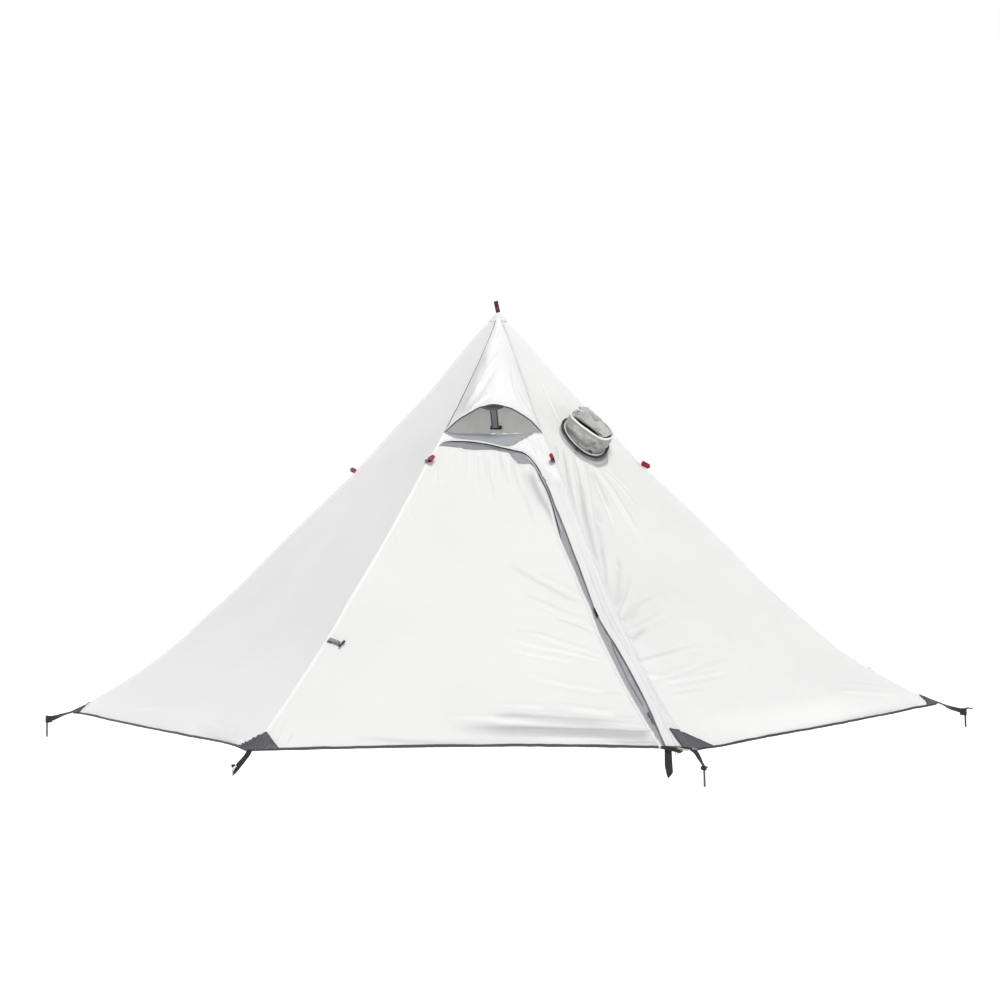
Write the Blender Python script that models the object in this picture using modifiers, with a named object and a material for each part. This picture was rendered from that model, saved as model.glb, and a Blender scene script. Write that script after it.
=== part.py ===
"""Eight-sided pyramid tent on one centre pole, pitched on eight pegs.

Metres, +Z up, the door faces -Y, the origin is on the ground under the apex.
Eight canopy faces meet on eight ridges; the ridges run nearly straight and
flare near the hem.  The front face (face 0) holds the vent hood, the yoke, the
door with its zip and storm flap; face 1, to its right, holds the stove jack.
"""
import bpy
import bmesh
from math import sin, cos, tan, pi, radians, sqrt, atan2
from mathutils import Vector, Matrix

# ------------------------------------------------------------------ dimensions
SIDES = 8
R_HEM = 1.600            # axis to a hem corner
Z_HEM = 0.090            # hem above the ground
Z_APEX = 1.620           # fabric apex
FLARE = 0.152            # share of the corner radius that comes from the flare
FLARE_POW = 3.3
CLOTH = 0.0016           # thickness of a canopy solid
EDGE = 0.0008            # each face stops this far from its ridge
T_TOP = 0.020            # where the faces start under the apex cap

SILL_T = 0.357           # bottom of the vent
BRIM_OUT, BRIM_UP = 0.088, 0.088     # brim centre from the middle of the sill
BRIM_SIDE = 0.010        # and its set to the right
MESH_IN = 0.005          # screen behind the face

ZIP_GAP = 0.072          # zip centre line from the front right ridge
ZIP_TAPE = 0.012
HINGE_GAP = 0.068        # door fold line from the front left ridge
DOOR_TOP = 0.3805
FLAP_FREE, FLAP_ROOT = 0.0575, 0.006

JACK_T, JACK_S = 0.3625, 0.025       # stove jack centre on face 1
JACK_HOLE, JACK_R0, JACK_R1 = 0.070, 0.086, 0.074
JACK_RING_R = 0.116
JACK_H, JACK_SHEAR = 0.062, 0.018
JACK_CORD_R = 0.100

LOOP_T = 0.440           # guy-out loops on the ridges
LOOP_W, LOOP_L, LOOP_GAP, LOOP_TH = 0.022, 0.030, 0.012, 0.0016

PEG_R = 0.0035
PEG_SIDE, PEG_FRONT = 1.720, 1.666   # pegs from the axis
STRAP_SIDE_Z, STRAP_FRONT_Z = 0.080, 0.060
WEB_W, WEB_T = 0.018, 0.0014

POLE_R, POLE_BORE, POLE_IN = 0.0110, 0.0098, 0.0094
POLE_SPLIT = 0.800       # lower end of the upper tube
CUP_TOP = Z_APEX - 0.0315
POLE_TOP = CUP_TOP - 0.0285
POLE_LAP = 0.200

C8, S8 = cos(pi / SIDES), sin(pi / SIDES)
DROP = Z_APEX - Z_HEM

# ------------------------------------------------------------------ clean start
for o in list(bpy.data.objects):
    bpy.data.objects.remove(o, do_unlink=True)

tent = bpy.data.collections.new("pyramid_tent")
bpy.context.scene.collection.children.link(tent)
cutters = bpy.data.collections.new("cutters")
bpy.context.scene.collection.children.link(cutters)


def material(name, rgb, rough, metal=0.0):
    m = bpy.data.materials.new(name)
    m.use_nodes = True
    b = m.node_tree.nodes["Principled BSDF"]
    b.inputs["Base Color"].default_value = (*rgb, 1.0)
    b.inputs["Roughness"].default_value = rough
    b.inputs["Metallic"].default_value = metal
    return m


WHITE = (0.83, 0.82, 0.81)
GREY = (0.30, 0.31, 0.33)
DARK = (0.10, 0.10, 0.12)
BLACK = (0.02, 0.02, 0.02)
RED = (0.45, 0.03, 0.04)
ALU = (0.75, 0.75, 0.76)
GLASS_CLOTH = (0.36, 0.36, 0.35)


def place(obj, mat, coll=tent):
    coll.objects.link(obj)
    m = material("m_" + obj.name, *mat)
    obj.data.materials.clear()
    obj.data.materials.append(m)
    return obj


def origin_to(obj, point):
    """Puts the object's origin on a point without moving its surface."""
    p = Vector(point)
    obj.data.transform(Matrix.Translation(-p))
    obj.location = p
    return obj


# ------------------------------------------------------------------ tent surface
def radius(t):
    return R_HEM * ((1 - FLARE) * t + FLARE * t ** FLARE_POW)


def height(t):
    return Z_APEX - DROP * t


def slope(t):
    """d(radius)/dt"""
    return R_HEM * ((1 - FLARE) + FLARE * FLARE_POW * t ** (FLARE_POW - 1))


def half_width(t):
    return radius(t) * S8


def face_axes(k):
    a = radians(-90 + 45 * k)
    return Vector((cos(a), sin(a), 0)), Vector((-sin(a), cos(a), 0))


def face_normal(k, t):
    n, _ = face_axes(k)
    v = n * DROP + Vector((0, 0, slope(t) * C8))
    return v.normalized()


def face_down(k, t):
    n, _ = face_axes(k)
    v = n * (slope(t) * C8) + Vector((0, 0, -DROP))
    return v.normalized()


def face_point(k, t, s, lift=0.0):
    """Point on face k: row t, s metres along the row, lift metres outward."""
    n, e = face_axes(k)
    return n * (radius(t) * C8) + e * s + Vector((0, 0, height(t))) + face_normal(k, t) * lift


def per_metre(t):
    """Row step for one metre down the face."""
    return 1.0 / sqrt((slope(t) * C8) ** 2 + DROP ** 2)


def corner_dir(j):
    a = radians(-90 + 22.5 + 45 * j)
    return Vector((cos(a), sin(a), 0)), Vector((-sin(a), cos(a), 0))


def ridge_point(j, t):
    c, _ = corner_dir(j)
    return c * radius(t) + Vector((0, 0, height(t)))


# ------------------------------------------------------------------ builders
def sheet(name, rows, mat, thick=CLOTH, offset=-1.0, closed=False, origin=None, smooth=True):
    """Open surface through rows of points, given thickness by Solidify."""
    bm = bmesh.new()
    grid = [[bm.verts.new(p) for p in row] for row in rows]
    count = len(rows[0])
    last = count if closed else count - 1
    for a, b in zip(grid, grid[1:]):
        for i in range(last):
            q = (i + 1) % count
            bm.faces.new((a[i], a[q], b[q], b[i]))
    me = bpy.data.meshes.new(name)
    bm.to_mesh(me)
    bm.free()
    if smooth:
        me.shade_smooth()
    obj = bpy.data.objects.new(name, me)
    place(obj, mat)
    if origin is not None:
        origin_to(obj, origin)
    so = obj.modifiers.new("thickness", "SOLIDIFY")
    so.thickness = thick
    so.offset = offset
    so.use_even_offset = False
    return obj


def rod(name, points, r, mat, cyclic=False, res=2, origin=None):
    cu = bpy.data.curves.new(name, "CURVE")
    cu.dimensions = "3D"
    cu.bevel_depth = r
    cu.bevel_resolution = res
    cu.use_fill_caps = not cyclic
    cu.resolution_u = 1
    sp = cu.splines.new("POLY")
    sp.points.add(len(points) - 1)
    o = Vector(origin) if origin is not None else Vector((0, 0, 0))
    for q, p in zip(sp.points, points):
        v = Vector(p) - o
        q.co = (v.x, v.y, v.z, 1)
    sp.use_cyclic_u = cyclic
    obj = bpy.data.objects.new(name, cu)
    place(obj, mat)
    obj.location = o
    return obj


def turned(name, profile, mat, steps=24, location=(0, 0, 0)):
    """Profile of (radius, z) pairs, from the top down the outside, as a closed ring."""
    me = bpy.data.meshes.new(name)
    closed = profile[0][0] > 1e-6
    verts = [(r, 0, z) for r, z in profile]
    n = len(verts)
    edges = [(i, i + 1) for i in range(n - 1)]
    if closed:
        edges.append((n - 1, 0))
    me.from_pydata(verts, edges, [])
    obj = bpy.data.objects.new(name, me)
    place(obj, mat)
    obj.location = location
    sc = obj.modifiers.new("turn", "SCREW")
    sc.steps = steps
    sc.render_steps = steps
    sc.angle = 2 * pi
    sc.use_merge_vertices = True
    sc.merge_threshold = 0.00002
    sc.use_smooth_shade = True
    return obj


def block(name, size, frame, mat, bevel=0.0008, origin=None):
    """Box of a size, in a 4x4 frame, with a small bevel."""
    bm = bmesh.new()
    bmesh.ops.create_cube(bm, size=1.0)
    bmesh.ops.scale(bm, vec=Vector(size), verts=bm.verts)
    bmesh.ops.transform(bm, matrix=frame, verts=bm.verts)
    me = bpy.data.meshes.new(name)
    bm.to_mesh(me)
    bm.free()
    obj = bpy.data.objects.new(name, me)
    place(obj, mat)
    if origin is not None:
        origin_to(obj, origin)
    if bevel:
        be = obj.modifiers.new("edge", "BEVEL")
        be.width = bevel
        be.segments = 1
    return obj


def frame_at(x, y, z, p):
    m = Matrix.Identity(4)
    for i in range(3):
        m[i][0], m[i][1], m[i][2], m[i][3] = x[i], y[i], z[i], p[i]
    return m


def band(name, path, width_dir, width, thick, mat, closed=False, origin=None):
    """Webbing: a path swept along its width."""
    w = Vector(width_dir).normalized() * (width / 2)
    rows = [[Vector(p) - w for p in path], [Vector(p) + w for p in path]]
    return sheet(name, rows, mat, thick=thick, offset=0.0, closed=closed, origin=origin)


# ------------------------------------------------------------------ plain faces
ROWS = [T_TOP, 0.10, 0.20, 0.28, 0.357, 0.43, 0.50, 0.58, 0.66, 0.73, 0.79, 0.85, 0.90, 0.95, 1.0]
FACE_NAMES = {1: "canopy_panel_right_front", 2: "canopy_panel_right", 3: "canopy_panel_right_rear",
              4: "canopy_panel_rear", 5: "canopy_panel_left_rear", 6: "canopy_panel_left",
              7: "canopy_panel_left_front"}


def limit(t):
    return half_width(t) - EDGE / C8


for k, name in FACE_NAMES.items():
    rows = [[face_point(k, t, s) for s in (limit(t), -limit(t))] for t in ROWS]
    obj = sheet(name, rows, (WHITE, 0.55))
    if k == 1:
        # round opening for the stove pipe
        n = face_normal(1, JACK_T)
        e = face_axes(1)[1]
        d = face_down(1, JACK_T)
        bm = bmesh.new()
        bmesh.ops.create_cone(bm, cap_ends=True, segments=24, radius1=JACK_HOLE,
                              radius2=JACK_HOLE, depth=0.08)
        bmesh.ops.transform(bm, matrix=frame_at(d, e, n, face_point(1, JACK_T, JACK_S)), verts=bm.verts)
        me = bpy.data.meshes.new("pipe_cutter")
        bm.to_mesh(me)
        bm.free()
        cut = bpy.data.objects.new("pipe_cutter", me)
        cutters.objects.link(cut)
        cut.hide_render = True
        cut.display_type = "WIRE"
        bo = obj.modifiers.new("pipe_opening", "BOOLEAN")
        bo.operation = "DIFFERENCE"
        bo.solver = "EXACT"
        bo.object = cut

# ------------------------------------------------------------------ front face
# zip centre line on the front face as (row, metres along the row)
ZIP_TOP = [(0.3800, -0.178), (0.3812, -0.135), (0.3830, -0.090), (0.3860, -0.045), (0.3902, -0.006),
           (0.3970, 0.040), (0.4060, 0.080), (0.4180, 0.113), (0.4340, 0.141), (0.4550, 0.164),
           (0.4800, 0.183)]


def zip_line():
    pts = list(ZIP_TOP)
    for t in (0.52, 0.57, 0.62, 0.67, 0.72, 0.77, 0.82, 0.86, 0.90, 0.94, 0.97, 0.998):
        pts.append((t, half_width(t) - ZIP_GAP))
    return pts


def zip_s(t):
    pts = zip_line()
    if t <= pts[0][0]:
        return pts[0][1]
    for (a, sa), (b, sb) in zip(pts, pts[1:]):
        if a <= t <= b:
            return sa + (sb - sa) * (t - a) / (b - a)
    return half_width(t) - ZIP_GAP


def zip_offset(i, d, pts):
    """Zip point i moved d metres across the line, towards the fixed side."""
    t, s = pts[i]
    a = pts[max(i - 1, 0)]
    b = pts[min(i + 1, len(pts) - 1)]
    m = 1.0 / per_metre(t)
    ds, dq = b[1] - a[1], (b[0] - a[0]) * m
    length = sqrt(ds * ds + dq * dq)
    # the line runs right and down; the fixed side is up and to the right
    return t + (-ds / length * d) / m, s + (dq / length) * d


path = zip_line()
rows = [[face_point(0, SILL_T, limit(SILL_T)), face_point(0, SILL_T, -limit(SILL_T))],
        [face_point(0, 0.3785, limit(0.3785)), face_point(0, 0.3785, -limit(0.3785))]]
for t, s in path:
    s = s + EDGE
    if t > 0.99:
        t = 1.0
    rows.append([face_point(0, t, limit(t)), face_point(0, t, s)])
sheet("front_yoke", rows, (WHITE, 0.55))

rows = []
for t in (0.3818, 0.43, 0.50, 0.58, 0.66, 0.73, 0.79, 0.85, 0.90, 0.95, 1.0):
    rows.append([face_point(0, t, -half_width(t) + HINGE_GAP - EDGE), face_point(0, t, -limit(t))])
rows[0][1] = face_point(0, 0.3808, -limit(0.3808))
sheet("front_hinge_strip", rows, (WHITE, 0.55))

# door: from the fold line to the zip
DOOR_LIFT = 0.0016
hinge_a = face_point(0, DOOR_TOP, -half_width(DOOR_TOP) + HINGE_GAP, DOOR_LIFT)
hinge_b = face_point(0, 1.0, -half_width(1.0) + HINGE_GAP, DOOR_LIFT)
rows = []
for t, s in path[1:]:
    t = min(t + 0.0007, 1.0)
    if t > 0.99:
        t = 1.0
    left = -half_width(t) + HINGE_GAP + EDGE
    right = s - EDGE
    mid = left + (right - left) * 0.5
    rows.append([face_point(0, t, right), face_point(0, t, mid), face_point(0, t, left)])
sheet("door_panel", rows, (WHITE, 0.55), origin=hinge_b)

# zip tape and teeth on the fixed edge
rows = []
for i in range(len(path) - 1):
    a = zip_offset(i, 0.0012, path)
    b = zip_offset(i, ZIP_TAPE, path)
    rows.append([face_point(0, b[0], b[1], 0.0004), face_point(0, a[0], a[1], 0.0004)])
sheet("door_zip", rows[1:], (GREY, 0.6), thick=0.0012, offset=1.0)

# storm flap beside the zip
FLAP_ROWS = (0.500, 0.56, 0.62, 0.68, 0.74, 0.79, 0.84, 0.88, 0.92, 0.955, 0.985)
rows = [[face_point(0, t, half_width(t) - FLAP_ROOT, 0.0030),
         face_point(0, t, half_width(t) - FLAP_FREE, 0.0050)] for t in FLAP_ROWS]
flap_a = face_point(0, FLAP_ROWS[0], half_width(FLAP_ROWS[0]) - FLAP_ROOT + 0.0012, 0.0030)
flap_b = face_point(0, FLAP_ROWS[-1], half_width(FLAP_ROWS[-1]) - FLAP_ROOT + 0.0012, 0.0030)
sheet("storm_flap", rows, (WHITE, 0.55), thick=0.0012, origin=flap_b)

# zip slider at the foot of the zip, and its pull
SLIDE_LO, SLIDE_HI = 0.950, 0.520


def zip_mid(t, lift):
    return face_point(0, t, half_width(t) - ZIP_GAP + 0.0066, lift)


slide_a, slide_b = zip_mid(SLIDE_LO, 0.0052), zip_mid(SLIDE_HI, 0.0052)
along = (slide_b - slide_a).normalized()
across = face_axes(0)[1]
across = (across - along * across.dot(along)).normalized()
up = across.cross(along)
if up.dot(face_normal(0, SLIDE_LO)) < 0:
    up = -up
block("zip_slider", (0.0112, 0.016, 0.0042), frame_at(across, along, up, slide_a), ALU_MAT := ((0.16, 0.16, 0.17), 0.35, 0.9),
      origin=slide_a)
pull_pin = slide_a - along * 0.0092 + up * 0.0030
block("zip_pull", (0.0070, 0.026, 0.0014), frame_at(across, along, up, pull_pin - along * 0.0132),
      (DARK, 0.5), origin=pull_pin, bevel=0.0004)

# door foot strap: hangs from the zip corner of the hem
ds_t = 1.0
ds_s = half_width(1.0) - ZIP_GAP - 0.006
ds_top = face_point(0, 1.0, ds_s) + Vector((0, -0.0015, -0.0035))
block("door_strap", (0.020, 0.0022, 0.084),
      Matrix.Translation(ds_top + Vector((0, 0, -0.0440))), (BLACK, 0.8), bevel=0.0004,
      origin=ds_top)

# ------------------------------------------------------------------ vent
sill_mid = face_point(0, SILL_T, 0)
brim_top = sill_mid + Vector((BRIM_SIDE, -BRIM_OUT, BRIM_UP))


def arch(v):
    """Brim edge: 0 at the left ridge, 1 at the right."""
    t = SILL_T - 0.004
    s = limit(t) * (2 * v - 1)
    base = face_point(0, t, s)
    rise = 1 - abs(2 * v - 1) ** 1.75
    return base + Vector((BRIM_SIDE, -BRIM_OUT, BRIM_UP)) * rise


def hood_point(v, w):
    """w 0 at the apex cap, 1 at the brim."""
    t = T_TOP + (SILL_T - 0.004 - T_TOP) * w
    flat = face_point(0, t, limit(t) * (2 * v - 1))
    edge_flat = face_point(0, SILL_T - 0.004, limit(SILL_T - 0.004) * (2 * v - 1))
    push = arch(v) - edge_flat
    return flat + push * w ** 1.6 + face_normal(0, t) * (0.030 * sin(pi * w) * sin(pi * v))


rows = []
for w in (0.0, 0.12, 0.25, 0.38, 0.5, 0.62, 0.74, 0.86, 0.965):
    rows.append([hood_point(1 - i / 12, w) for i in range(13)])
sheet("vent_hood", rows, (WHITE, 0.55), thick=0.0012)

brim = [hood_point(0.03 + 0.94 * i / 16, 0.998) for i in range(17)]
rod("vent_brim", brim, 0.0024, (GREY, 0.7))

rows = []
for t in (0.10, 0.18, 0.26, 0.352):
    w = half_width(t) - 0.012
    rows.append([face_point(0, t, w, -MESH_IN), face_point(0, t, 0, -MESH_IN), face_point(0, t, -w, -MESH_IN)])
sheet("vent_mesh", rows, ((0.5, 0.5, 0.5), 0.8), thick=0.0010)

# kick-stand strut, hinged on its pad at the sill
strut_pin = face_point(0, 0.3440, BRIM_SIDE, 0.0040)
strut_end = brim_top + Vector((0, 0.012, -0.0135))
s_dir = (strut_end - strut_pin).normalized()
s_side = Vector((1, 0, 0))
s_norm = s_side.cross(s_dir)
length = (strut_end - strut_pin).length
block("vent_strut", (0.024, length - 0.004, 0.0026),
      frame_at(s_side, s_dir, s_norm, strut_pin + s_dir * (length / 2 + 0.001)), (GREY, 0.8),
      origin=strut_pin, bevel=0.0005)

# ------------------------------------------------------------------ apex
bm = bmesh.new()
bmesh.ops.create_cone(bm, cap_ends=True, segments=8, radius1=0.0258, radius2=0.0016, depth=0.0285)
bmesh.ops.rotate(bm, verts=bm.verts, matrix=Matrix.Rotation(radians(22.5), 3, "Z"))
me = bpy.data.meshes.new("apex_cap")
bm.to_mesh(me)
bm.free()
cap = bpy.data.objects.new("apex_cap", me)
place(cap, (WHITE, 0.55))
cap.location = (0, 0, Z_APEX - 0.0155)


def stadium(length, gap, count=7):
    """Closed loop path: a long oval in (along, across) coordinates, starting at its foot."""
    r = gap / 2
    pts = []
    for i in range(count):
        a = -pi / 2 + pi * i / (count - 1)
        pts.append((length - r + r * cos(a), r * sin(a)))
    for i in range(count):
        a = pi / 2 + pi * i / (count - 1)
        pts.append((r + r * cos(a), r * sin(a)))
    return pts


lean = radians(11)
out = Vector((-sin(lean), 0, cos(lean)))
side = Vector((cos(lean), 0, sin(lean)))
thick_dir = Vector((0, 1, 0))
foot = Vector((0, 0, Z_APEX + 0.0022))
pts = [foot + out * (a + 0.0008) + thick_dir * b for a, b in stadium(0.046, 0.0090)]
band("apex_loop", pts, side, 0.016, 0.0016, (RED, 0.8), closed=True)

turned("apex_cup", [(0.0135, CUP_TOP), (0.0165, CUP_TOP - 0.0035), (0.0165, CUP_TOP - 0.0225),
                    (0.0135, CUP_TOP - 0.0225), (0.0135, CUP_TOP - 0.0060),
                    (0.0040, CUP_TOP - 0.0060), (0.0040, CUP_TOP)], (DARK, 0.6), steps=20)

# ------------------------------------------------------------------ centre pole
turned("pole_tip", [(0.0, CUP_TOP - 0.0075), (0.0060, CUP_TOP - 0.0095), (0.0085, CUP_TOP - 0.0155),
                    (0.0085, POLE_TOP + 0.0003), (0.0, POLE_TOP + 0.0003)], (BLACK, 0.5), steps=20)
turned("pole_upper_tube", [(POLE_BORE, POLE_TOP), (POLE_R, POLE_TOP), (POLE_R, POLE_SPLIT),
                           (POLE_BORE, POLE_SPLIT)], (ALU, 0.35, 1.0), steps=20)
turned("pole_lock_collar", [(POLE_R + 0.0004, POLE_SPLIT + 0.050), (0.0165, POLE_SPLIT + 0.050),
                            (0.0165, POLE_SPLIT + 0.004), (POLE_R + 0.0004, POLE_SPLIT + 0.004)],
       (BLACK, 0.5), steps=20)
lever_pin = Vector((0, 0.0215, POLE_SPLIT + 0.046))
block("pole_lock_lever", (0.014, 0.0045, 0.046),
      Matrix.Translation(lever_pin + Vector((0, -0.0010, -0.021))), (BLACK, 0.45),
      origin=lever_pin, bevel=0.001)
turned("pole_lower_tube", [(0.0080, POLE_SPLIT + POLE_LAP), (POLE_IN, POLE_SPLIT + POLE_LAP), (POLE_IN, 0.0283),
                           (0.0080, 0.0283)], (ALU, 0.35, 1.0), steps=20)
turned("pole_foot", [(0.0, 0.0280), (0.0125, 0.0280), (0.0150, 0.0240), (0.0190, 0.0050),
                     (0.0190, 0.0), (0.0, 0.0)], (BLACK, 0.8), steps=20)

# ------------------------------------------------------------------ stove jack
jn = face_normal(1, JACK_T)
je = face_axes(1)[1]
ju = -face_down(1, JACK_T)
jc = face_point(1, JACK_T, JACK_S)


def jack(a, r, lift, shift=0.0):
    """Point round the jack: angle from its upper side, radius, height, shift up the face."""
    return jc + ju * (r * cos(a) + shift) + je * (r * sin(a)) + jn * lift


def ring(r, lift, shift=0.0, count=32):
    return [jack(-2 * pi * i / count, r, lift, shift) for i in range(count)]


# the face curves, so the flat ring stands a little off it
sheet("jack_ring", [ring(JACK_RING_R, 0.0022), ring(JACK_HOLE, 0.0022)], (GLASS_CLOTH, 0.8),
      thick=0.0012, offset=1.0, closed=True)
rod("jack_drawcord", ring(JACK_CORD_R, 0.0064, count=28), 0.0026, (BLACK, 0.7), cyclic=True)
sheet("jack_collar", [ring(JACK_R1, 0.0040 + JACK_H, JACK_SHEAR), ring(0.0800, 0.035, 0.012),
                      ring(JACK_R0, 0.0040)],
      (GLASS_CLOTH, 0.85), thick=0.0014, offset=-1.0, closed=True)
lock_p = jack(radians(205), JACK_CORD_R, 0.0115)
block("jack_cord_lock", (0.012, 0.016, 0.0048), frame_at(je, ju, jn, lock_p), (BLACK, 0.4), bevel=0.0012)

# cover flap, hinged on the upper side of the collar's rim
pin = jack(0, JACK_R1 + 0.0060, 0.0040 + JACK_H + 0.0030, JACK_SHEAR)
f_up = (jn * 0.10 - ju).normalized()
rows = []
for i in range(7):
    v = i / 6
    w = 0.058 * (1 - max(0, v - 0.35) ** 2 * 1.9) * (0.80 + 0.20 * min(1.0, v * 4))
    base = pin + f_up * (0.0015 + 0.122 * v) + jn * (0.010 * sin(pi * v))
    rows.append([base + je * (w * q) for q in (1, 0.5, 0, -0.5, -1)])
sheet("jack_cover_flap", rows, (GLASS_CLOTH, 0.85), thick=0.0014, offset=0.0, origin=pin)

# ------------------------------------------------------------------ corners
CORNERS = ["front_right", "right_front", "right_rear", "rear_right",
           "rear_left", "left_rear", "left_front", "front_left"]
LOOP_FRAMES = {}
for j, name in enumerate(CORNERS):
    c, e = corner_dir(j)
    side_corner = j in (1, 2, 5, 6)
    rp = PEG_SIDE if side_corner else PEG_FRONT
    ze = STRAP_SIDE_Z if side_corner else STRAP_FRONT_Z
    z0 = 0.090 if side_corner else 0.086
    start = R_HEM + 0.006
    loop_r = 0.0068
    flat = []

    def at(rho, tau):
        f = (rho - start) / (rp - start)
        return c * rho + e * tau + Vector((0, 0, z0 + (ze - z0) * min(max(f, 0), 1)))

    flat.append(at(start, 0.0))
    flat.append(at((start + rp - 0.018) / 2, 0.0))
    flat.append(at(rp - 0.018, 0.0))
    steps = 9
    for i in range(steps):
        a = radians(150 - 300 * i / (steps - 1))
        flat.append(c * (rp + loop_r * cos(a)) + e * (loop_r * sin(a)) + Vector((0, 0, ze)))
    flat.append(c * (rp - 0.0125) - e * 0.0022 + Vector((0, 0, ze)))
    band("corner_strap_" + name, flat, Vector((0, 0, 1)), WEB_W, WEB_T, (BLACK, 0.8))
    top = ze + 0.0155
    pts = [c * rp, c * rp + Vector((0, 0, top - 0.006)),
           c * (rp + 0.0015) + Vector((0, 0, top - 0.0015)),
           c * (rp + 0.0050) + Vector((0, 0, top)),
           c * (rp + 0.0160) + Vector((0, 0, top - 0.0010))]
    rod("peg_" + name, pts, PEG_R, ((0.05, 0.055, 0.035), 0.45, 0.8))

    # guy-out loop
    tan_dir = (c * slope(LOOP_T) + Vector((0, 0, -DROP))).normalized()
    outward = e.cross(tan_dir)
    if outward.dot(c) < 0:
        outward = -outward
    gap_dir = e
    if name == "front_left":
        turn = Matrix.Rotation(radians(-62), 3, tan_dir)
    elif name == "front_right":
        turn = Matrix.Rotation(radians(30), 3, tan_dir)
    else:
        turn = Matrix.Identity(3)
    o2 = turn @ outward
    g2 = turn @ gap_dir
    foot = ridge_point(j, LOOP_T) + o2 * (0.0090 if name == "front_left" else 0.0050)
    LOOP_FRAMES[name] = (foot, o2, g2)
    pts = [foot + o2 * a + g2 * b for a, b in stadium(LOOP_L, LOOP_GAP, 5)]
    band("guy_loop_" + name, pts, tan_dir, LOOP_W, LOOP_TH, (RED, 0.8), closed=True)

# ------------------------------------------------------------------ door tie-back
tb_t = 0.818
tb = face_point(0, tb_t, -half_width(tb_t) + 0.013, 0.0030)
td = face_down(0, tb_t)
tn = face_normal(0, tb_t)
te = face_axes(0)[1]
l_dir = (te * 0.88 + td * 0.42).normalized()
l_side = tn.cross(l_dir)
pts = [tb + l_dir * a + tn * (b + 0.0036) for a, b in stadium(0.034, 0.0040, 5)]
band("tieback_loop", pts, l_side, 0.010, 0.0012, (GREY, 0.8), closed=True)
tg = tb + l_dir * 0.0470 + tn * 0.0062
bar = (l_side * 0.95 + l_dir * 0.1).normalized()
pts = [tg - bar * 0.014, tg - bar * 0.005, tg + bar * 0.005, tg + bar * 0.014]
rod("tieback_toggle", pts, 0.0035, (BLACK, 0.4), origin=tg)

# the pull follows its slider; everything else stands on its own
bpy.context.view_layer.update()
slider = bpy.data.objects["zip_slider"]
pull = bpy.data.objects["zip_pull"]
world = pull.matrix_world.copy()
pull.parent = slider
pull.matrix_parent_inverse = slider.matrix_world.inverted()
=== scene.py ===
import math
from math import sin, cos, pi, radians, sqrt, atan2
import bpy
import numpy as np
from mathutils import Matrix, Vector


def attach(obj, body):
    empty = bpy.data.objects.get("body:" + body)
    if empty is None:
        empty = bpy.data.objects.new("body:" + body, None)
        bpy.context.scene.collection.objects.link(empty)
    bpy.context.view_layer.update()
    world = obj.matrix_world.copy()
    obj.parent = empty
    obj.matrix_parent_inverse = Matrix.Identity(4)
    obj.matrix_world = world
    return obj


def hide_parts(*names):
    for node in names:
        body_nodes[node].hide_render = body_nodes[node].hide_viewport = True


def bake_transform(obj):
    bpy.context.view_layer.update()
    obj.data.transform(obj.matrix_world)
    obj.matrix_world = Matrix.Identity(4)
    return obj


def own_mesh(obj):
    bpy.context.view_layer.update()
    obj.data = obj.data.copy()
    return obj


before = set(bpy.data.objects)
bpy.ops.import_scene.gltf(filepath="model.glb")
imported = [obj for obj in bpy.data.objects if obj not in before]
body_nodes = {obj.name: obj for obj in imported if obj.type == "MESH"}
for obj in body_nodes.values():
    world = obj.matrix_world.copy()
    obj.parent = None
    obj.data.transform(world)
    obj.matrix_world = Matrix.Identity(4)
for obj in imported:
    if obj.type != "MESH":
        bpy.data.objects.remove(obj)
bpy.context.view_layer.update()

# =====================================================================
#  Tent surface: the same octagon pyramid as the frame (metres)
# =====================================================================
R_HEM, Z_HEM, Z_APEX = 1.600, 0.090, 1.620
FLARE, FLARE_POW = 0.152, 3.3
C8, S8 = cos(pi / 8), sin(pi / 8)
DROP = Z_APEX - Z_HEM
T_TOP, SILL_T = 0.020, 0.357
Z3 = np.array([0.0, 0.0, 1.0])


def unit(v):
    v = np.asarray(v, float)
    return v / np.maximum(np.linalg.norm(v, axis=-1, keepdims=True), 1e-12)


def radius(t):
    return R_HEM * ((1 - FLARE) * t + FLARE * np.abs(t) ** FLARE_POW)


def slope(t):
    return R_HEM * ((1 - FLARE) + FLARE * FLARE_POW * np.abs(t) ** (FLARE_POW - 1))


def height(t):
    return Z_APEX - DROP * t


def half_width(t):
    return radius(t) * S8


def axes(k):
    a = radians(-90 + 45 * k)
    return np.array([cos(a), sin(a), 0.0]), np.array([-sin(a), cos(a), 0.0])


def corner_dir(j):
    a = radians(-90 + 22.5 + 45 * j)
    return np.array([cos(a), sin(a), 0.0]), np.array([-sin(a), cos(a), 0.0])


def normal_at(k, t):
    n, _ = axes(k)
    t = np.asarray(t, float)
    return unit(n * DROP + Z3 * (slope(t) * C8)[..., None])


def down_at(k, t):
    n, _ = axes(k)
    t = np.asarray(t, float)
    return unit(n * (slope(t) * C8)[..., None] - Z3 * DROP)


_T = np.linspace(0, 1.05, 1200)
_A = np.concatenate([[0], np.cumsum(np.sqrt((slope((_T[1:] + _T[:-1]) / 2) * C8) ** 2 + DROP ** 2) * np.diff(_T))])


def arc(t):
    """Length down the middle of a face, from the apex."""
    return np.interp(t, _T, _A)


def row_of(y):
    return np.interp(y, _A, _T)


def smooth(x, a, b):
    x = np.clip((np.asarray(x, float) - a) / (b - a), 0, 1)
    return x * x * (3 - 2 * x)


def curve(table, x):
    xs, ys = zip(*table)
    return np.interp(x, xs, ys)


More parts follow.
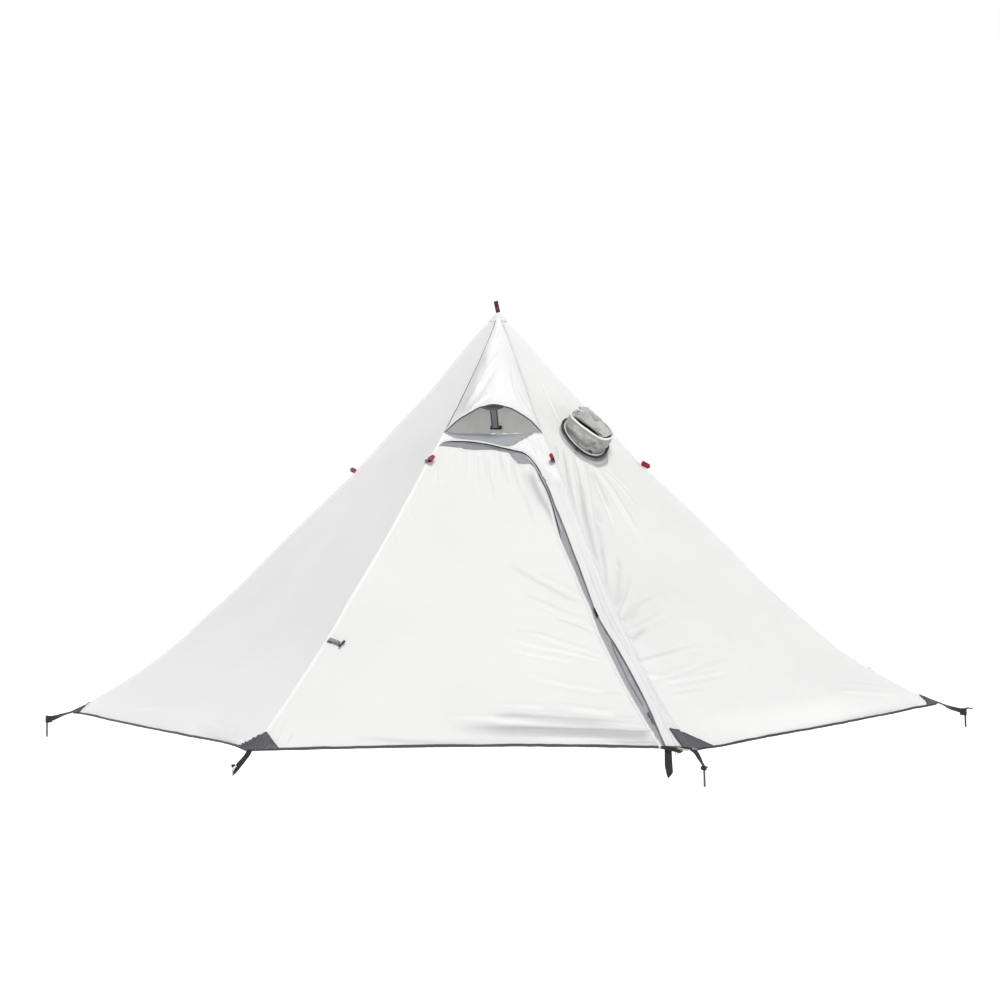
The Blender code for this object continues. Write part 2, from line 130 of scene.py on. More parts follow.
# The pitched ridges are not exact: each is pulled a few millimetres along the tangent (first number)
# and outward (second) at these rows.
RIDGE_PULL = {
    0: [(0, 0, 0), (.09, .004, 0), (.22, .002, 0), (.30, -.004, 0), (.40, .001, 0), (.50, .006, 0), (.58, -.003, 0),
        (.67, -.005, 0), (.73, -.010, 0), (.79, -.012, 0), (.84, -.017, 0), (.89, -.0205, 0), (.93, -.022, 0),
        (.97, -.014, 0), (1.0, .012, 0)],
    1: [(0, 0, 0), (.05, 0, .006), (.2, 0, -.003), (.25, 0, -.003), (.33, 0, .009), (.42, 0, .002), (.52, 0, .011),
        (.60, 0, .011), (.66, 0, .003), (.74, 0, -.013), (.80, 0, -.021), (.85, 0, -.032), (.885, 0, -.034),
        (.93, 0, -.017), (.965, 0, .003), (1.0, 0, .022)],
    2: [(0, 0, 0), (.3, .003, 0), (.6, .002, -.006), (.86, -.004, -.018), (.95, 0, -.008), (1.0, 0, .010)],
    3: [(0, 0, 0), (.3, -.003, 0), (.6, .003, -.005), (.86, .003, -.016), (.95, 0, -.008), (1.0, 0, .008)],
    4: [(0, 0, 0), (.3, .002, 0), (.6, -.003, -.006), (.87, -.004, -.017), (.95, 0, -.007), (1.0, 0, .009)],
    5: [(0, 0, 0), (.3, -.002, 0), (.6, .002, -.004), (.86, .002, -.015), (.95, 0, -.008), (1.0, 0, .008)],
    6: [(0, 0, 0), (.05, 0, .006), (.15, 0, .000), (.22, 0, -.007), (.32, 0, .000), (.40, 0, -.001), (.44, 0, -.004),
        (.50, 0, .003), (.56, 0, .008), (.63, 0, .005), (.70, 0, -.004), (.76, 0, -.007), (.80, 0, -.013),
        (.83, 0, -.022), (.86, 0, -.021), (.91, 0, -.019), (.96, 0, .000), (1.0, 0, .006)],
    7: [(0, 0, 0), (.05, .010, 0), (.15, .017, 0), (.28, .016, 0), (.35, .012, 0), (.39, .008, 0), (.43, .001, 0),
        (.60, -.001, 0), (.74, -.004, 0), (.80, .004, 0), (.88, .006, 0), (.95, .008, 0), (.975, .010, 0),
        (1.0, -.006, 0)],
}
_F = np.linspace(0, 1, 401)
_PULL = {}
for _j, _rows in RIDGE_PULL.items():
    _a = np.array(_rows)
    _e, _c = np.interp(_F, _a[:, 0], _a[:, 1]), np.interp(_F, _a[:, 0], _a[:, 2])
    _ker = np.hanning(23)
    _ker /= _ker.sum()
    _pad = lambda q: np.convolve(np.concatenate([np.full(11, q[0]), q, q[-1] + (q[-1] - q[-2]) * np.arange(1, 12)]), _ker, "valid")
    _PULL[_j] = (_pad(_e), _pad(_c))


def ridge_pull(j, t):
    c, e = corner_dir(j % 8)
    pe, pc = _PULL[j % 8]
    t = np.asarray(t, float)
    return e * np.interp(t, _F, pe)[..., None] + c * np.interp(t, _F, pc)[..., None]


# the straps draw four corners out further: metres along the corner's direction and upward
CORNER_PULL = {6: (0.033, 0.000), 1: (0.024, 0.009), 0: (0.000, -0.004)}


def corner_pull(j, t, edge):
    out, up = CORNER_PULL.get(j % 8, (0.0, 0.0))
    w = np.exp(-np.maximum((1.0 - np.asarray(t, float)) * 1.9, 0) / 0.045) * np.exp(-np.maximum(edge, 0) / 0.05)
    return (corner_dir(j % 8)[0] * out + Z3 * up) * w[..., None]


def on_face(k, t, s, lift=0.0):
    """Points of face k: row t, s metres along the row, lift metres outward, with the ridges' pull."""
    n, e = axes(k)
    t, s = np.broadcast_arrays(np.asarray(t, float), np.asarray(s, float))
    lift = np.broadcast_to(np.asarray(lift, float), t.shape)
    p = n * (radius(t) * C8)[..., None] + e * s[..., None] + Z3 * height(t)[..., None]
    p = p + normal_at(k, t) * lift[..., None]
    hw = np.maximum(half_width(t), 1e-4)
    if k == 0:
        # on the front the pull dies out at the zip and at the door's fold
        wr = np.clip(1 - (hw - s) / 0.072, 0, 1) ** 1.3
        wr = np.where(t < 0.36, np.clip((1 + s / hw) / 2, 0, 1), wr)
        wl = np.where(t < 0.40, np.clip((1 - s / hw) / 2, 0, 1), np.clip(1 - (hw + s) / 0.25, 0, 1))
    elif k == 1:
        wl = np.clip(1 - (hw + s) / 0.45, 0, 1)
        wr = np.clip((1 + s / hw) / 2, 0, 1) ** 1.5
    else:
        wr = np.clip((1 + s / hw) / 2, 0, 1)
        wl = 1 - wr
    left, right = (k - 1) % 8, k % 8
    p = p + ridge_pull(left, t) * wl[..., None] + ridge_pull(right, t) * wr[..., None]
    return p + corner_pull(left, t, hw + s) + corner_pull(right, t, hw - s)


def ridge(j, t, out=0.0):
    c, e = corner_dir(j % 8)
    t = np.asarray(t, float)
    p = c * radius(t)[..., None] + Z3 * height(t)[..., None] + ridge_pull(j, t) + corner_pull(j, t, 0.0)
    return p + ridge_normal(j, t) * np.broadcast_to(np.asarray(out, float), t.shape)[..., None]


def ridge_normal(j, t):
    c, e = corner_dir(j % 8)
    t = np.asarray(t, float)
    return unit(c * DROP + Z3 * slope(t)[..., None])


# =====================================================================
#  Camera: from the octagon's fit to the photograph's frame
# =====================================================================
CAM_F, CAM_D, CAM_AZ, CAM_H = 1150.02, 4.6648, radians(4.1828), 0.610
CAM_PITCH, CAM_ROLL, CAM_X = 0.0519, 0.0173, -0.0056
_fw = np.array([-sin(CAM_AZ) * cos(CAM_PITCH), cos(CAM_AZ) * cos(CAM_PITCH), sin(CAM_PITCH)])
_rt = unit(np.cross(_fw, Z3))
_up = np.cross(_rt, _fw)
_eye = np.array([CAM_D * sin(CAM_AZ), -CAM_D * cos(CAM_AZ), CAM_H]) + _rt * CAM_X
_cr, _sr = cos(CAM_ROLL), sin(CAM_ROLL)
CAM_RIGHT, CAM_UP = _cr * _rt - _sr * _up, _sr * _rt + _cr * _up

camera = bpy.data.objects.new("camera", bpy.data.cameras.new("camera"))
bpy.context.scene.collection.objects.link(camera)
camera.data.sensor_width = 36.0
camera.data.lens = CAM_F / 1000 * 36.0
camera.data.clip_start, camera.data.clip_end = 0.05, 200.0
_m = Matrix.Identity(4)
for _i in range(3):
    _m[_i][0], _m[_i][1], _m[_i][2], _m[_i][3] = CAM_RIGHT[_i], CAM_UP[_i], -_fw[_i], _eye[_i]
camera.matrix_world = _m
bpy.context.scene.camera = camera


def face_at(k, points):
    """Frame pixels to (row, metres along the row) on face k."""
    n, _ = axes(k)
    e = axes(k)[1]
    out = []
    lam = np.linspace(2.0, 7.0, 6000)
    for x, y in points:
        d = _fw + CAM_RIGHT * ((x - 500) / CAM_F) + CAM_UP * ((500 - y) / CAM_F)
        q = _eye + d * lam[:, None]
        t = (Z_APEX - q[:, 2]) / DROP
        g = q @ n - radius(np.clip(t, 0, 1.2)) * C8 * np.sign(np.maximum(t, 0) + 1e-9)
        sign = np.nonzero((g[:-1] > 0) & (g[1:] <= 0))[0]
        i = int(sign[0]) if len(sign) else int(np.argmin(np.abs(g)))
        out.append((float(t[i]), float(q[i] @ e)))
    return np.array(out)


# =====================================================================
#  Noise, folds and mesh builders
# =====================================================================
def noise(x, y, seed):
    """Smooth seeded noise, about -1 to 1, with features one unit apart."""
    rng = np.random.RandomState(seed)
    grid = rng.uniform(-1, 1, (128, 128))
    xi, yi = np.floor(x).astype(int), np.floor(y).astype(int)
    fx, fy = x - xi, y - yi
    fx, fy = fx * fx * (3 - 2 * fx), fy * fy * (3 - 2 * fy)
    g = lambda a, b: grid[a % 128, b % 128]
    return ((g(xi, yi) * (1 - fx) + g(xi + 1, yi) * fx) * (1 - fy)
            + (g(xi, yi + 1) * (1 - fx) + g(xi + 1, yi + 1) * fx) * fy)


def along_line(x, y, line):
    """Signed distance to a polyline and the share of its length, for points x, y."""
    line = np.asarray(line, float)
    seg = np.diff(line, axis=0)
    lens = np.linalg.norm(seg, axis=1)
    total = lens.sum()
    best = np.full(x.shape, 1e9)
    sd, share = np.zeros(x.shape), np.zeros(x.shape)
    run = 0.0
    for p, q, ln in zip(line[:-1], seg, lens):
        f = np.clip(((x - p[0]) * q[0] + (y - p[1]) * q[1]) / (ln * ln), 0, 1)
        dx, dy = x - p[0] - f * q[0], y - p[1] - f * q[1]
        d = np.hypot(dx, dy)
        side = np.sign(q[0] * dy - q[1] * dx)
        hit = d < best
        best[hit] = d[hit]
        sd[hit] = (d * side)[hit]
        share[hit] = ((run + f * ln) / total)[hit]
        run += ln
    return sd, share


def smooth_line(pts, n=24):
    """Catmull-Rom points through a short list."""
    p = np.asarray(pts, float)
    if len(p) < 3:
        f = np.linspace(0, 1, n)[:, None]
        return p[0] * (1 - f) + p[-1] * f
    q = np.vstack([2 * p[0] - p[1], p, 2 * p[-1] - p[-2]])
    ln = np.concatenate([[0], np.cumsum(np.linalg.norm(np.diff(p, axis=0), axis=1))])
    out = []
    for f in np.linspace(0, ln[-1], n):
        i = min(int(np.searchsorted(ln, f, "right")) - 1, len(p) - 2)
        u = (f - ln[i]) / max(ln[i + 1] - ln[i], 1e-9)
        a, b, c, d = q[i], q[i + 1], q[i + 2], q[i + 3]
        out.append(0.5 * (2 * b + (c - a) * u + (2 * a - 5 * b + 4 * c - d) * u ** 2
                          + (3 * b - a - 3 * c + d) * u ** 3))
    return np.array(out)


def resample(path, n):
    p = np.asarray(path, float)
    ln = np.concatenate([[0], np.cumsum(np.linalg.norm(np.diff(p, axis=0), axis=1))])
    f = np.linspace(0, ln[-1], n)
    return np.stack([np.interp(f, ln, p[:, i]) for i in range(p.shape[1])], axis=1)


FOLDS = {k: [] for k in range(8)}


def fold(k, pixels, amp, width, kind="r", ends=(0.25, 0.45)):
    """A fold on face k that runs through frame pixels; amp and width in millimetres."""
    ts = face_at(k, pixels)
    FOLDS[k].append((smooth_line(np.stack([ts[:, 1], arc(ts[:, 0])], 1), 10), amp / 1000, width / 1000, kind, ends))


def fold_here(k, pts, amp, width, kind="r", ends=(0.25, 0.45)):
    """The same through (row, share of the half width) points, for the sides that the photograph doesn't show."""
    q = [(half_width(t) * u, arc(t)) for t, u in pts]
    FOLDS[k].append((smooth_line(q, 10), amp / 1000, width / 1000, kind, ends))


def folds_at(k, s, y):
    total = np.zeros(s.shape)
    for line, amp, w, kind, ends in FOLDS[k]:
        reach = 4.5 * w
        lo, hi = line.min(0) - reach, line.max(0) + reach
        near = (s > lo[0]) & (s < hi[0]) & (y > lo[1]) & (y < hi[1])
        if not near.any():
            continue
        d, f = along_line(s[near], y[near], line)
        a = np.abs(d) / w
        if kind == "r":
            p = np.exp(-a * a)
        elif kind == "c":
            p = np.exp(-a * 1.3) * (1 - 0.25 * np.exp(-a * 6))
        elif kind == "s":
            p = 1.9 * (d / w) * np.exp(-a * a * 0.9)
        else:
            p = np.exp(-a * a) - 0.55 * np.exp(-((a - 1.7) ** 2) * 1.4)
        e0, e1 = ends
        fade = np.ones(f.shape)
        if e0 > 0:
            fade *= smooth(f, 0, e0)
        if e1 > 0:
            fade *= 1 - smooth(f, 1 - e1, 1)
        # past its ends a fold dies out
        total[near] += amp * p * fade
    return total


SHADES = {k: [] for k in range(8)}


def shade_line(k, pixels, depth, width, ends=(0.2, 0.3)):
    """Painted shade along a crease on face k (positive depth), or painted light along a crest (negative), through frame
    pixels; width in mm.
    """
    ts = face_at(k, pixels)
    SHADES[k].append((smooth_line(np.stack([ts[:, 1], arc(ts[:, 0])], 1), 12), depth, width / 1000, ends))


def shade_at(k, s, y):
    s, y = np.broadcast_arrays(np.asarray(s, float), np.asarray(y, float))
    run = y / float(arc(1.0))
    # painted light: the outer faces are painted lighter towards the point and towards the hem
    total = np.zeros(s.shape)
    if k == 7:
        total = total - 0.22 * (1 - smooth(run, 0.12, 0.42)) - 0.42 * smooth(run, 0.70, 0.96)
    elif k == 1:
        total = total - 0.40 * (1 - smooth(run, 0.14, 0.40)) - 0.26 * smooth(run, 0.72, 0.96)
    for line, depth, w, (e0, e1) in SHADES[k]:
        reach = 3.0 * w
        lo, hi = line.min(0) - reach, line.max(0) + reach
        near = (s > lo[0]) & (s < hi[0]) & (y > lo[1]) & (y < hi[1])
        if near.any():
            d, f = along_line(s[near], y[near], line)
            total[near] += (depth * np.exp(-(d / w) ** 2) * smooth(f, 0, max(e0, 0.05))
                            * (1 - smooth(f, 1 - max(e1, 0.05), 1)))
    return np.clip(total, -0.6, 0.8)


def paint_fold_shade(obj, depth):
    """Painted shade for the cloth's material: how dark each point is painted in a crease, or how light on a crest where
    negative.
    """
    layer = obj.data.attributes.new("fold_shade", "FLOAT", "POINT")
    layer.data.foreach_set("value", np.ascontiguousarray(depth, dtype=np.float32).ravel())
    return obj


def make(name, verts, faces, mat, uv=None, smooth_shade=True, sharp=None):
    me = bpy.data.meshes.new(name)
    me.from_pydata(np.asarray(verts, float).reshape(-1, 3).tolist(), [], [list(map(int, f)) for f in faces])
    if uv is not None:
        layer = me.uv_layers.new(name="UVMap")
        idx = np.empty(len(me.loops), dtype=np.int32)
        me.loops.foreach_get("vertex_index", idx)
        layer.data.foreach_set("uv", np.asarray(uv, float).reshape(-1, 2)[idx].astype(np.float32).ravel())
    me.update()
    if smooth_shade:
        me.shade_smooth()
    if sharp:
        me.set_sharp_from_angle(angle=radians(sharp))
    obj = bpy.data.objects.new(name, me)
    bpy.context.scene.collection.objects.link(obj)
    if mat is not None:
        me.materials.append(mat)
    return obj


def grid_faces(r, c, wrap=False, flip=False):
    idx = np.arange(r * c).reshape(r, c)
    if wrap:
        idx = np.concatenate([idx, idx[:, :1]], 1)
    a, b, d, e = idx[:-1, :-1], idx[:-1, 1:], idx[1:, :-1], idx[1:, 1:]
    order = (a, b, e, d) if flip else (a, d, e, b)
    return np.stack(order, -1).reshape(-1, 4)


def sheet_grid(name, p, mat, uv=None, wrap=False, flip=False, keep=None, sharp=None, shade=None):
    r, c = p.shape[:2]
    faces = grid_faces(r, c, wrap, flip)
    if keep is not None:
        faces = faces[keep.ravel()[faces].all(1)]
        used = np.unique(faces)
        back = np.full(r * c, -1)
        back[used] = np.arange(len(used))
        verts = p.reshape(-1, 3)[used]
        uv = None if uv is None else np.asarray(uv).reshape(-1, 2)[used]
        obj = make(name, verts, back[faces], mat, uv, sharp=sharp)
        return obj if shade is None else paint_fold_shade(obj, np.asarray(shade).ravel()[used])
    obj = make(name, p, faces, mat, uv, sharp=sharp)
    return obj if shade is None else paint_fold_shade(obj, shade)


def frames_along(path, closed=False):
    """Tangents and a turning-free normal along a path."""
    p = np.asarray(path, float)
    if closed:
        tan = unit(np.roll(p, -1, 0) - np.roll(p, 1, 0))
    else:
        tan = unit(np.gradient(p, axis=0))
    n = np.zeros_like(p)
    a = np.cross(tan[0], Z3)
    if np.linalg.norm(a) < 1e-3:
        a = np.cross(tan[0], [1.0, 0, 0])
    n[0] = unit(a)
    for i in range(1, len(p)):
        v = n[i - 1] - tan[i] * (n[i - 1] @ tan[i])
        n[i] = unit(v)
    return tan, n


def tube(name, path, r, mat, sides=8, closed=False, caps=True, flat=1.0):
    """Round cord along a path; r may be one number or one for each point."""
    p = np.asarray(path, float)
    tan, n = frames_along(p, closed)
    b = np.cross(tan, n)
    r = np.broadcast_to(np.asarray(r, float), (len(p),))
    ang = np.linspace(0, 2 * pi, sides, endpoint=False)
    ring = (n[:, None, :] * np.cos(ang)[None, :, None] + b[:, None, :] * (np.sin(ang) * flat)[None, :, None])
    v = p[:, None, :] + ring * r[:, None, None]
    ln = np.concatenate([[0], np.cumsum(np.linalg.norm(np.diff(p, axis=0), axis=1))])
    uv = np.stack(np.broadcast_arrays((ang * float(r.mean()))[None, :], ln[:, None]), -1)
    rows = len(p)
    idx = np.arange(rows * sides).reshape(rows, sides)
    nxt = np.roll(idx, -1, 1)
    if closed:
        a, c2 = idx, np.roll(idx, -1, 0)
        b2, d2 = nxt, np.roll(nxt, -1, 0)
    else:
        a, c2, b2, d2 = idx[:-1], idx[1:], nxt[:-1], nxt[1:]
    faces = np.stack([a, b2, d2, c2], -1).reshape(-1, 4)
    faces = [tuple(f) for f in faces]
    verts = v.reshape(-1, 3)
    if caps and not closed:
        faces += [tuple(idx[0][::-1]), tuple(idx[-1])]
    return make(name, verts, faces, mat, uv.reshape(-1, 2))


def webbing(name, path, wide, width, thick, mat, closed=False, ripple=0.0, seed=0, caps=True):
    """Woven tape with rounded edges: a path, its width direction at each point, and its size."""
    p = np.asarray(path, float)
    w = np.broadcast_to(np.asarray(wide, float), p.shape)
    width = np.broadcast_to(np.asarray(width, float), (len(p),))
    tan = unit(np.roll(p, -1, 0) - np.roll(p, 1, 0)) if closed else unit(np.gradient(p, axis=0))
    w = unit(w - tan * (w * tan).sum(1, keepdims=True))
    n = np.cross(tan, w)
    h = thick / 2
    across = [-1.0, -0.94, -0.5, 0.0, 0.5, 0.94, 1.0]
    sect = [(-1.0, 0.35)] + [(a, 1.0) for a in across[1:-1]] + [(1.0, 0.35), (1.0, -0.35)]
    sect += [(a, -1.0) for a in reversed(across[1:-1])] + [(-1.0, -0.35)]
    sect = np.array(sect)
    ln = np.concatenate([[0], np.cumsum(np.linalg.norm(np.diff(p, axis=0), axis=1))])
    bow = ripple * noise(ln[:, None] * 60 + 3, np.array([seed * 1.7])[None, :] + 0 * ln[:, None], seed)[:, 0]
    v = (p[:, None, :] + w[:, None, :] * (sect[:, 0][None, :, None] * (width / 2)[:, None, None])
         + n[:, None, :] * (sect[:, 1] * h)[None, :, None] + n[:, None, :] * bow[:, None, None])
    uv = np.stack(np.broadcast_arrays(sect[:, 0][None, :] * (width / 2)[:, None], ln[:, None]), -1)
    rows, sides = v.shape[:2]
    idx = np.arange(rows * sides).reshape(rows, sides)
    nxt = np.roll(idx, -1, 1)
    if closed:
        a, c2, b2, d2 = idx, np.roll(idx, -1, 0), nxt, np.roll(nxt, -1, 0)
    else:
        a, c2, b2, d2 = idx[:-1], idx[1:], nxt[:-1], nxt[1:]
    faces = [tuple(f) for f in np.stack([a, c2, d2, b2], -1).reshape(-1, 4)]
    if caps and not closed:
        faces += [tuple(idx[0]), tuple(idx[-1][::-1])]
    return make(name, v.reshape(-1, 3), faces, mat, uv.reshape(-1, 2), sharp=40)


def loft(name, rows, mat, wrap=True, caps=False, uv=None, sharp=None, flip=False):
    """Skin through rings of points."""
    p = np.asarray(rows, float)
    r, c = p.shape[:2]
    faces = [tuple(f) for f in grid_faces(r, c, wrap, flip)]
    if caps:
        idx = np.arange(r * c).reshape(r, c)
        top, bottom = tuple(idx[0]), tuple(idx[-1][::-1])
        faces += [top[::-1], bottom[::-1]] if flip else [top, bottom]
    return make(name, p, faces, mat, uv, sharp=sharp)


# =====================================================================
#  Materials
# =====================================================================
class Tree:
    def __init__(self, name):
        self.m = bpy.data.materials.new(name)
        self.m.use_nodes = True
        self.t = self.m.node_tree
        self.t.nodes.clear()
        self.out = self.t.nodes.new("ShaderNodeOutputMaterial")

    def n(self, kind, **sockets):
        node = self.t.nodes.new("ShaderNode" + kind)
        for key, v in sockets.items():
            if key.startswith("_"):
                setattr(node, key[1:], v)
                continue
            key = int(key[1:]) if key[0] == "i" and key[1:].isdigit() else key.replace("_", " ")
            self.put(node.inputs[key], v)
        return node

    def put(self, socket, v):
        if isinstance(v, bpy.types.NodeSocket):
            self.t.links.new(v, socket)
        elif isinstance(v, bpy.types.Node):
            self.t.links.new(v.outputs[0], socket)
        elif isinstance(v, (tuple, list)) and len(v) == 3 and len(socket.default_value) == 4:
            socket.default_value = (*v, 1.0)
        else:
            socket.default_value = v

    def math(self, op, a, b=None, clamp=False):
        node = self.n("Math", _operation=op, _use_clamp=clamp)
        self.put(node.inputs[0], a)
        if b is not None:
            self.put(node.inputs[1], b)
        return node.outputs[0]

    def uv(self):
        sep = self.n("SeparateXYZ", i0=self.n("UVMap", _uv_map="UVMap"))
        return sep.outputs[0], sep.outputs[1]

    def obj_xyz(self):
        return self.n("TexCoord").outputs["Object"]

    def ramp(self, fac, stops):
        node = self.n("ValToRGB")
        el = node.color_ramp.elements
        while len(el) < len(stops):
            el.new(0.5)
        for e, (pos, col) in zip(el, stops):
            e.position = pos
            e.color = (*col, 1.0) if len(col) == 3 else (col[0], col[0], col[0], 1.0)
        self.put(node.inputs[0], fac)
        return node.outputs[0]

    def noise(self, scale, detail=3.0, rough=0.5, vector=None, distort=0.0):
        node = self.n("TexNoise", Scale=scale, Detail=detail, Roughness=rough, Distortion=distort)
        self.put(node.inputs["Vector"], vector if vector is not None else self.obj_xyz())
        return node.outputs[0]

    def bump(self, height, distance, strength=1.0, normal=None):
        node = self.n("Bump", Height=height, Distance=distance, Strength=strength)
        if normal is not None:
            self.put(node.inputs["Normal"], normal)
        return node.outputs[0]

    def mix(self, fac, a, b):
        node = self.n("Mix", _data_type="RGBA")
        self.put(node.inputs[0], fac)
        self.put(node.inputs[6], a)
        self.put(node.inputs[7], b)
        return node.outputs[2]

    def principled(self, **sockets):
        return self.n("BsdfPrincipled", **sockets)

    def done(self, shader):
        self.put(self.out.inputs["Surface"], shader)
        return self.m


def weave_height(t, u, v, pitch):
    """Plain weave: over and under in both directions."""
    k = 2 * pi / pitch
    a = t.math("SINE", t.math("MULTIPLY", u, k))
    b = t.math("SINE", t.math("MULTIPLY", v, k))
    return t.math("MULTIPLY", a, b)


def canopy_cloth(name, tone=(1.0, 1.0, 1.0), through=0.12, warm=0.0, stitched=False, crease=0.0012):
    """Thin coated nylon: even, faintly mottled, some light comes through it."""
    t = Tree(name)
    u, v = t.uv()
    big = t.noise(3.1, 3.0, 0.55)
    col = t.ramp(big, [(0.32, tuple(0.845 * c for c in tone)), (0.72, tuple(0.885 * c for c in tone))])
    fine = t.noise(46.0, 4.0, 0.6)
    col = t.mix(t.math("MULTIPLY", fine, 0.10), col, tuple(0.76 * c for c in tone))
    # painted shade: the fold_shade attribute darkens the colour in creases (positive) and paints it lighter on crests
    # and lit stretches (negative)
    deep = t.n("Attribute", _attribute_name="fold_shade").outputs[2]
    col = t.mix(t.math("MULTIPLY", deep, 1.0, True), col, tuple(c * w for c, w in zip(tone, (0.44, 0.44, 0.46))))
    col = t.mix(t.math("MULTIPLY", deep, -1.0, True), col, (0.97, 0.97, 0.965))
    small = t.noise(17.0, 3.0, 0.5, distort=0.6)
    normal = t.bump(small, crease, 0.55)
    normal = t.bump(fine, 0.0006, 0.4, normal)
    weave = weave_height(t, u, v, 0.0016)
    normal = t.bump(weave, 0.00012, 0.5, normal)
    if stitched:
        dash = t.math("LESS_THAN", t.math("FRACT", t.math("MULTIPLY", v, 300.0)), 0.62)
        lines = None
        for at in (-0.0034, 0.0034):
            near = t.math("LESS_THAN", t.math("ABSOLUTE", t.math("SUBTRACT", u, at)), 0.00042)
            lines = near if lines is None else t.math("MAXIMUM", lines, near)
        thread = t.math("MULTIPLY", dash, lines)
        hole = t.math("MULTIPLY", t.math("SUBTRACT", 1.0, dash), lines)
        col = t.mix(t.math("MULTIPLY", hole, 0.65), col, (0.30, 0.30, 0.32))
        normal = t.bump(t.math("SUBTRACT", thread, hole), 0.0004, 0.8, normal)
        pull = t.noise(90.0, 2.0, 0.5)
        normal = t.bump(pull, 0.0011, 0.6, normal)
    rough = t.ramp(fine, [(0.2, (0.50,)), (0.8, (0.62,))])
    p = t.principled(Base_Color=col, Roughness=rough, Normal=normal)
    p.inputs["Specular IOR Level"].default_value = 0.35
    p.inputs["Sheen Weight"].default_value = 0.08
    if through <= 0:
        return t.done(p)
    tr = t.n("BsdfTranslucent", Color=col, Normal=normal)
    return t.done(t.n("MixShader", i0=through, i1=p, i2=tr))


def tape(name, rgb, pitch=0.0022, light=1.6, rough=0.75, twill=True, sheen=0.15, dirt=0.0):
    """Woven webbing or binding tape: slanting ribs across its width, a plain selvedge on both edges."""
    t = Tree(name)
    u, v = t.uv()
    k = 2 * pi / pitch
    zig = t.math("ABSOLUTE", t.math("SUBTRACT", t.math("FRACT", t.math("MULTIPLY", u, 130.0)), 0.5)) if twill else u
    lift = t.math("SINE", t.math("ADD", t.math("MULTIPLY", v, k), t.math("MULTIPLY", zig, 9.0 if twill else k)))
    cross = t.math("SINE", t.math("MULTIPLY", u, k * 1.7))
    h = t.math("ADD", t.math("MULTIPLY", lift, 0.5), t.math("MULTIPLY", cross, 0.22))
    fuzz = t.noise(420.0, 3.0, 0.6)
    worn = t.noise(28.0, 4.0, 0.65)
    f = t.math("ADD", t.math("MULTIPLY", h, 0.22), t.math("MULTIPLY", fuzz, 0.75))
    col = t.ramp(f, [(0.20, tuple(c * 0.55 for c in rgb)), (0.50, rgb), (0.78, tuple(min(1, c * light) for c in rgb))])
    col = t.mix(t.math("MULTIPLY", worn, 0.28 + dirt), col, tuple(min(1, c * 1.5 + 0.02) for c in rgb))
    normal = t.bump(h, 0.00045, 0.9)
    normal = t.bump(fuzz, 0.0003, 0.5, normal)
    r = t.ramp(worn, [(0.2, (rough,)), (0.8, (min(1, rough + 0.15),))])
    p = t.principled(Base_Color=col, Roughness=r, Normal=normal)
    p.inputs["Sheen Weight"].default_value = sheen
    return t.done(p)


def ripstop(name, rgb, cell=0.006):
    """Coated ripstop: plain cloth with a thicker thread every few millimetres."""
    t = Tree(name)
    u, v = t.uv()
    lines = None
    for c in (u, v):
        f = t.math("FRACT", t.math("MULTIPLY", c, 1 / cell))
        near = t.math("LESS_THAN", f, 0.14)
        lines = near if lines is None else t.math("MAXIMUM", lines, near)
    cloud = t.noise(34.0, 4.0, 0.6)
    col = t.ramp(cloud, [(0.25, tuple(c * 0.80 for c in rgb)), (0.75, tuple(c * 1.22 for c in rgb))])
    col = t.mix(t.math("MULTIPLY", lines, 0.45), col, tuple(c * 1.9 for c in rgb))
    weave = weave_height(t, u, v, 0.0012)
    normal = t.bump(lines, 0.0003, 0.6)
    normal = t.bump(weave, 0.0001, 0.5, normal)
    normal = t.bump(cloud, 0.0018, 0.5, normal)
    p = t.principled(Base_Color=col, Roughness=t.ramp(cloud, [(0.2, (0.48,)), (0.8, (0.62,))]), Normal=normal)
    p.inputs["Sheen Weight"].default_value = 0.1
    return t.done(p)


def glass_cloth(name, rgb, through=0.0):
    """Coated glass-fibre cloth: coarse shiny weave, creased and a little stained."""
    t = Tree(name)
    u, v = t.uv()
    weave = weave_height(t, u, v, 0.0024)
    cloud = t.noise(24.0, 5.0, 0.62, distort=0.8)
    stain = t.noise(60.0, 3.0, 0.5)
    col = t.ramp(cloud, [(0.22, tuple(c * 0.72 for c in rgb)), (0.52, rgb), (0.82, tuple(min(1, c * 1.28) for c in rgb))])
    col = t.mix(t.math("MULTIPLY", stain, 0.22), col, (0.52, 0.49, 0.43))
    col = t.mix(t.math("MULTIPLY", t.math("ADD", t.math("MULTIPLY", weave, 0.5), 0.5), 0.16), col,
                tuple(c * 0.5 for c in rgb))
    normal = t.bump(cloud, 0.004, 0.55)
    normal = t.bump(weave, 0.0005, 0.7, normal)
    p = t.principled(Base_Color=col, Roughness=t.ramp(stain, [(0.2, (0.42,)), (0.8, (0.60,))]), Normal=normal)
    p.inputs["Specular IOR Level"].default_value = 0.45
    return t.done(p)


def net(name, rgb):
    """Fine light netting, read as a pale cloth with a hexagon-like grain."""
    t = Tree(name)
    u, v = t.uv()
    k = 2 * pi / 0.0030
    a = t.math("SINE", t.math("MULTIPLY", t.math("ADD", u, v), k))
    b = t.math("SINE", t.math("MULTIPLY", t.math("SUBTRACT", u, v), k))
    h = t.math("MULTIPLY", a, b)
    hole = t.math("GREATER_THAN", h, 0.45)
    cloud = t.noise(9.0, 3.0, 0.5)
    col = t.ramp(cloud, [(0.3, tuple(c * 0.90 for c in rgb)), (0.7, tuple(min(1, c * 1.06) for c in rgb))])
    col = t.mix(t.math("MULTIPLY", hole, 0.45), col, tuple(c * 0.42 for c in rgb))
    normal = t.bump(h, 0.0004, 0.6)
    p = t.principled(Base_Color=col, Roughness=0.8, Normal=normal)
    tr = t.n("BsdfTranslucent", Color=col, Normal=normal)
    return t.done(t.n("MixShader", i0=0.35, i1=p, i2=tr))


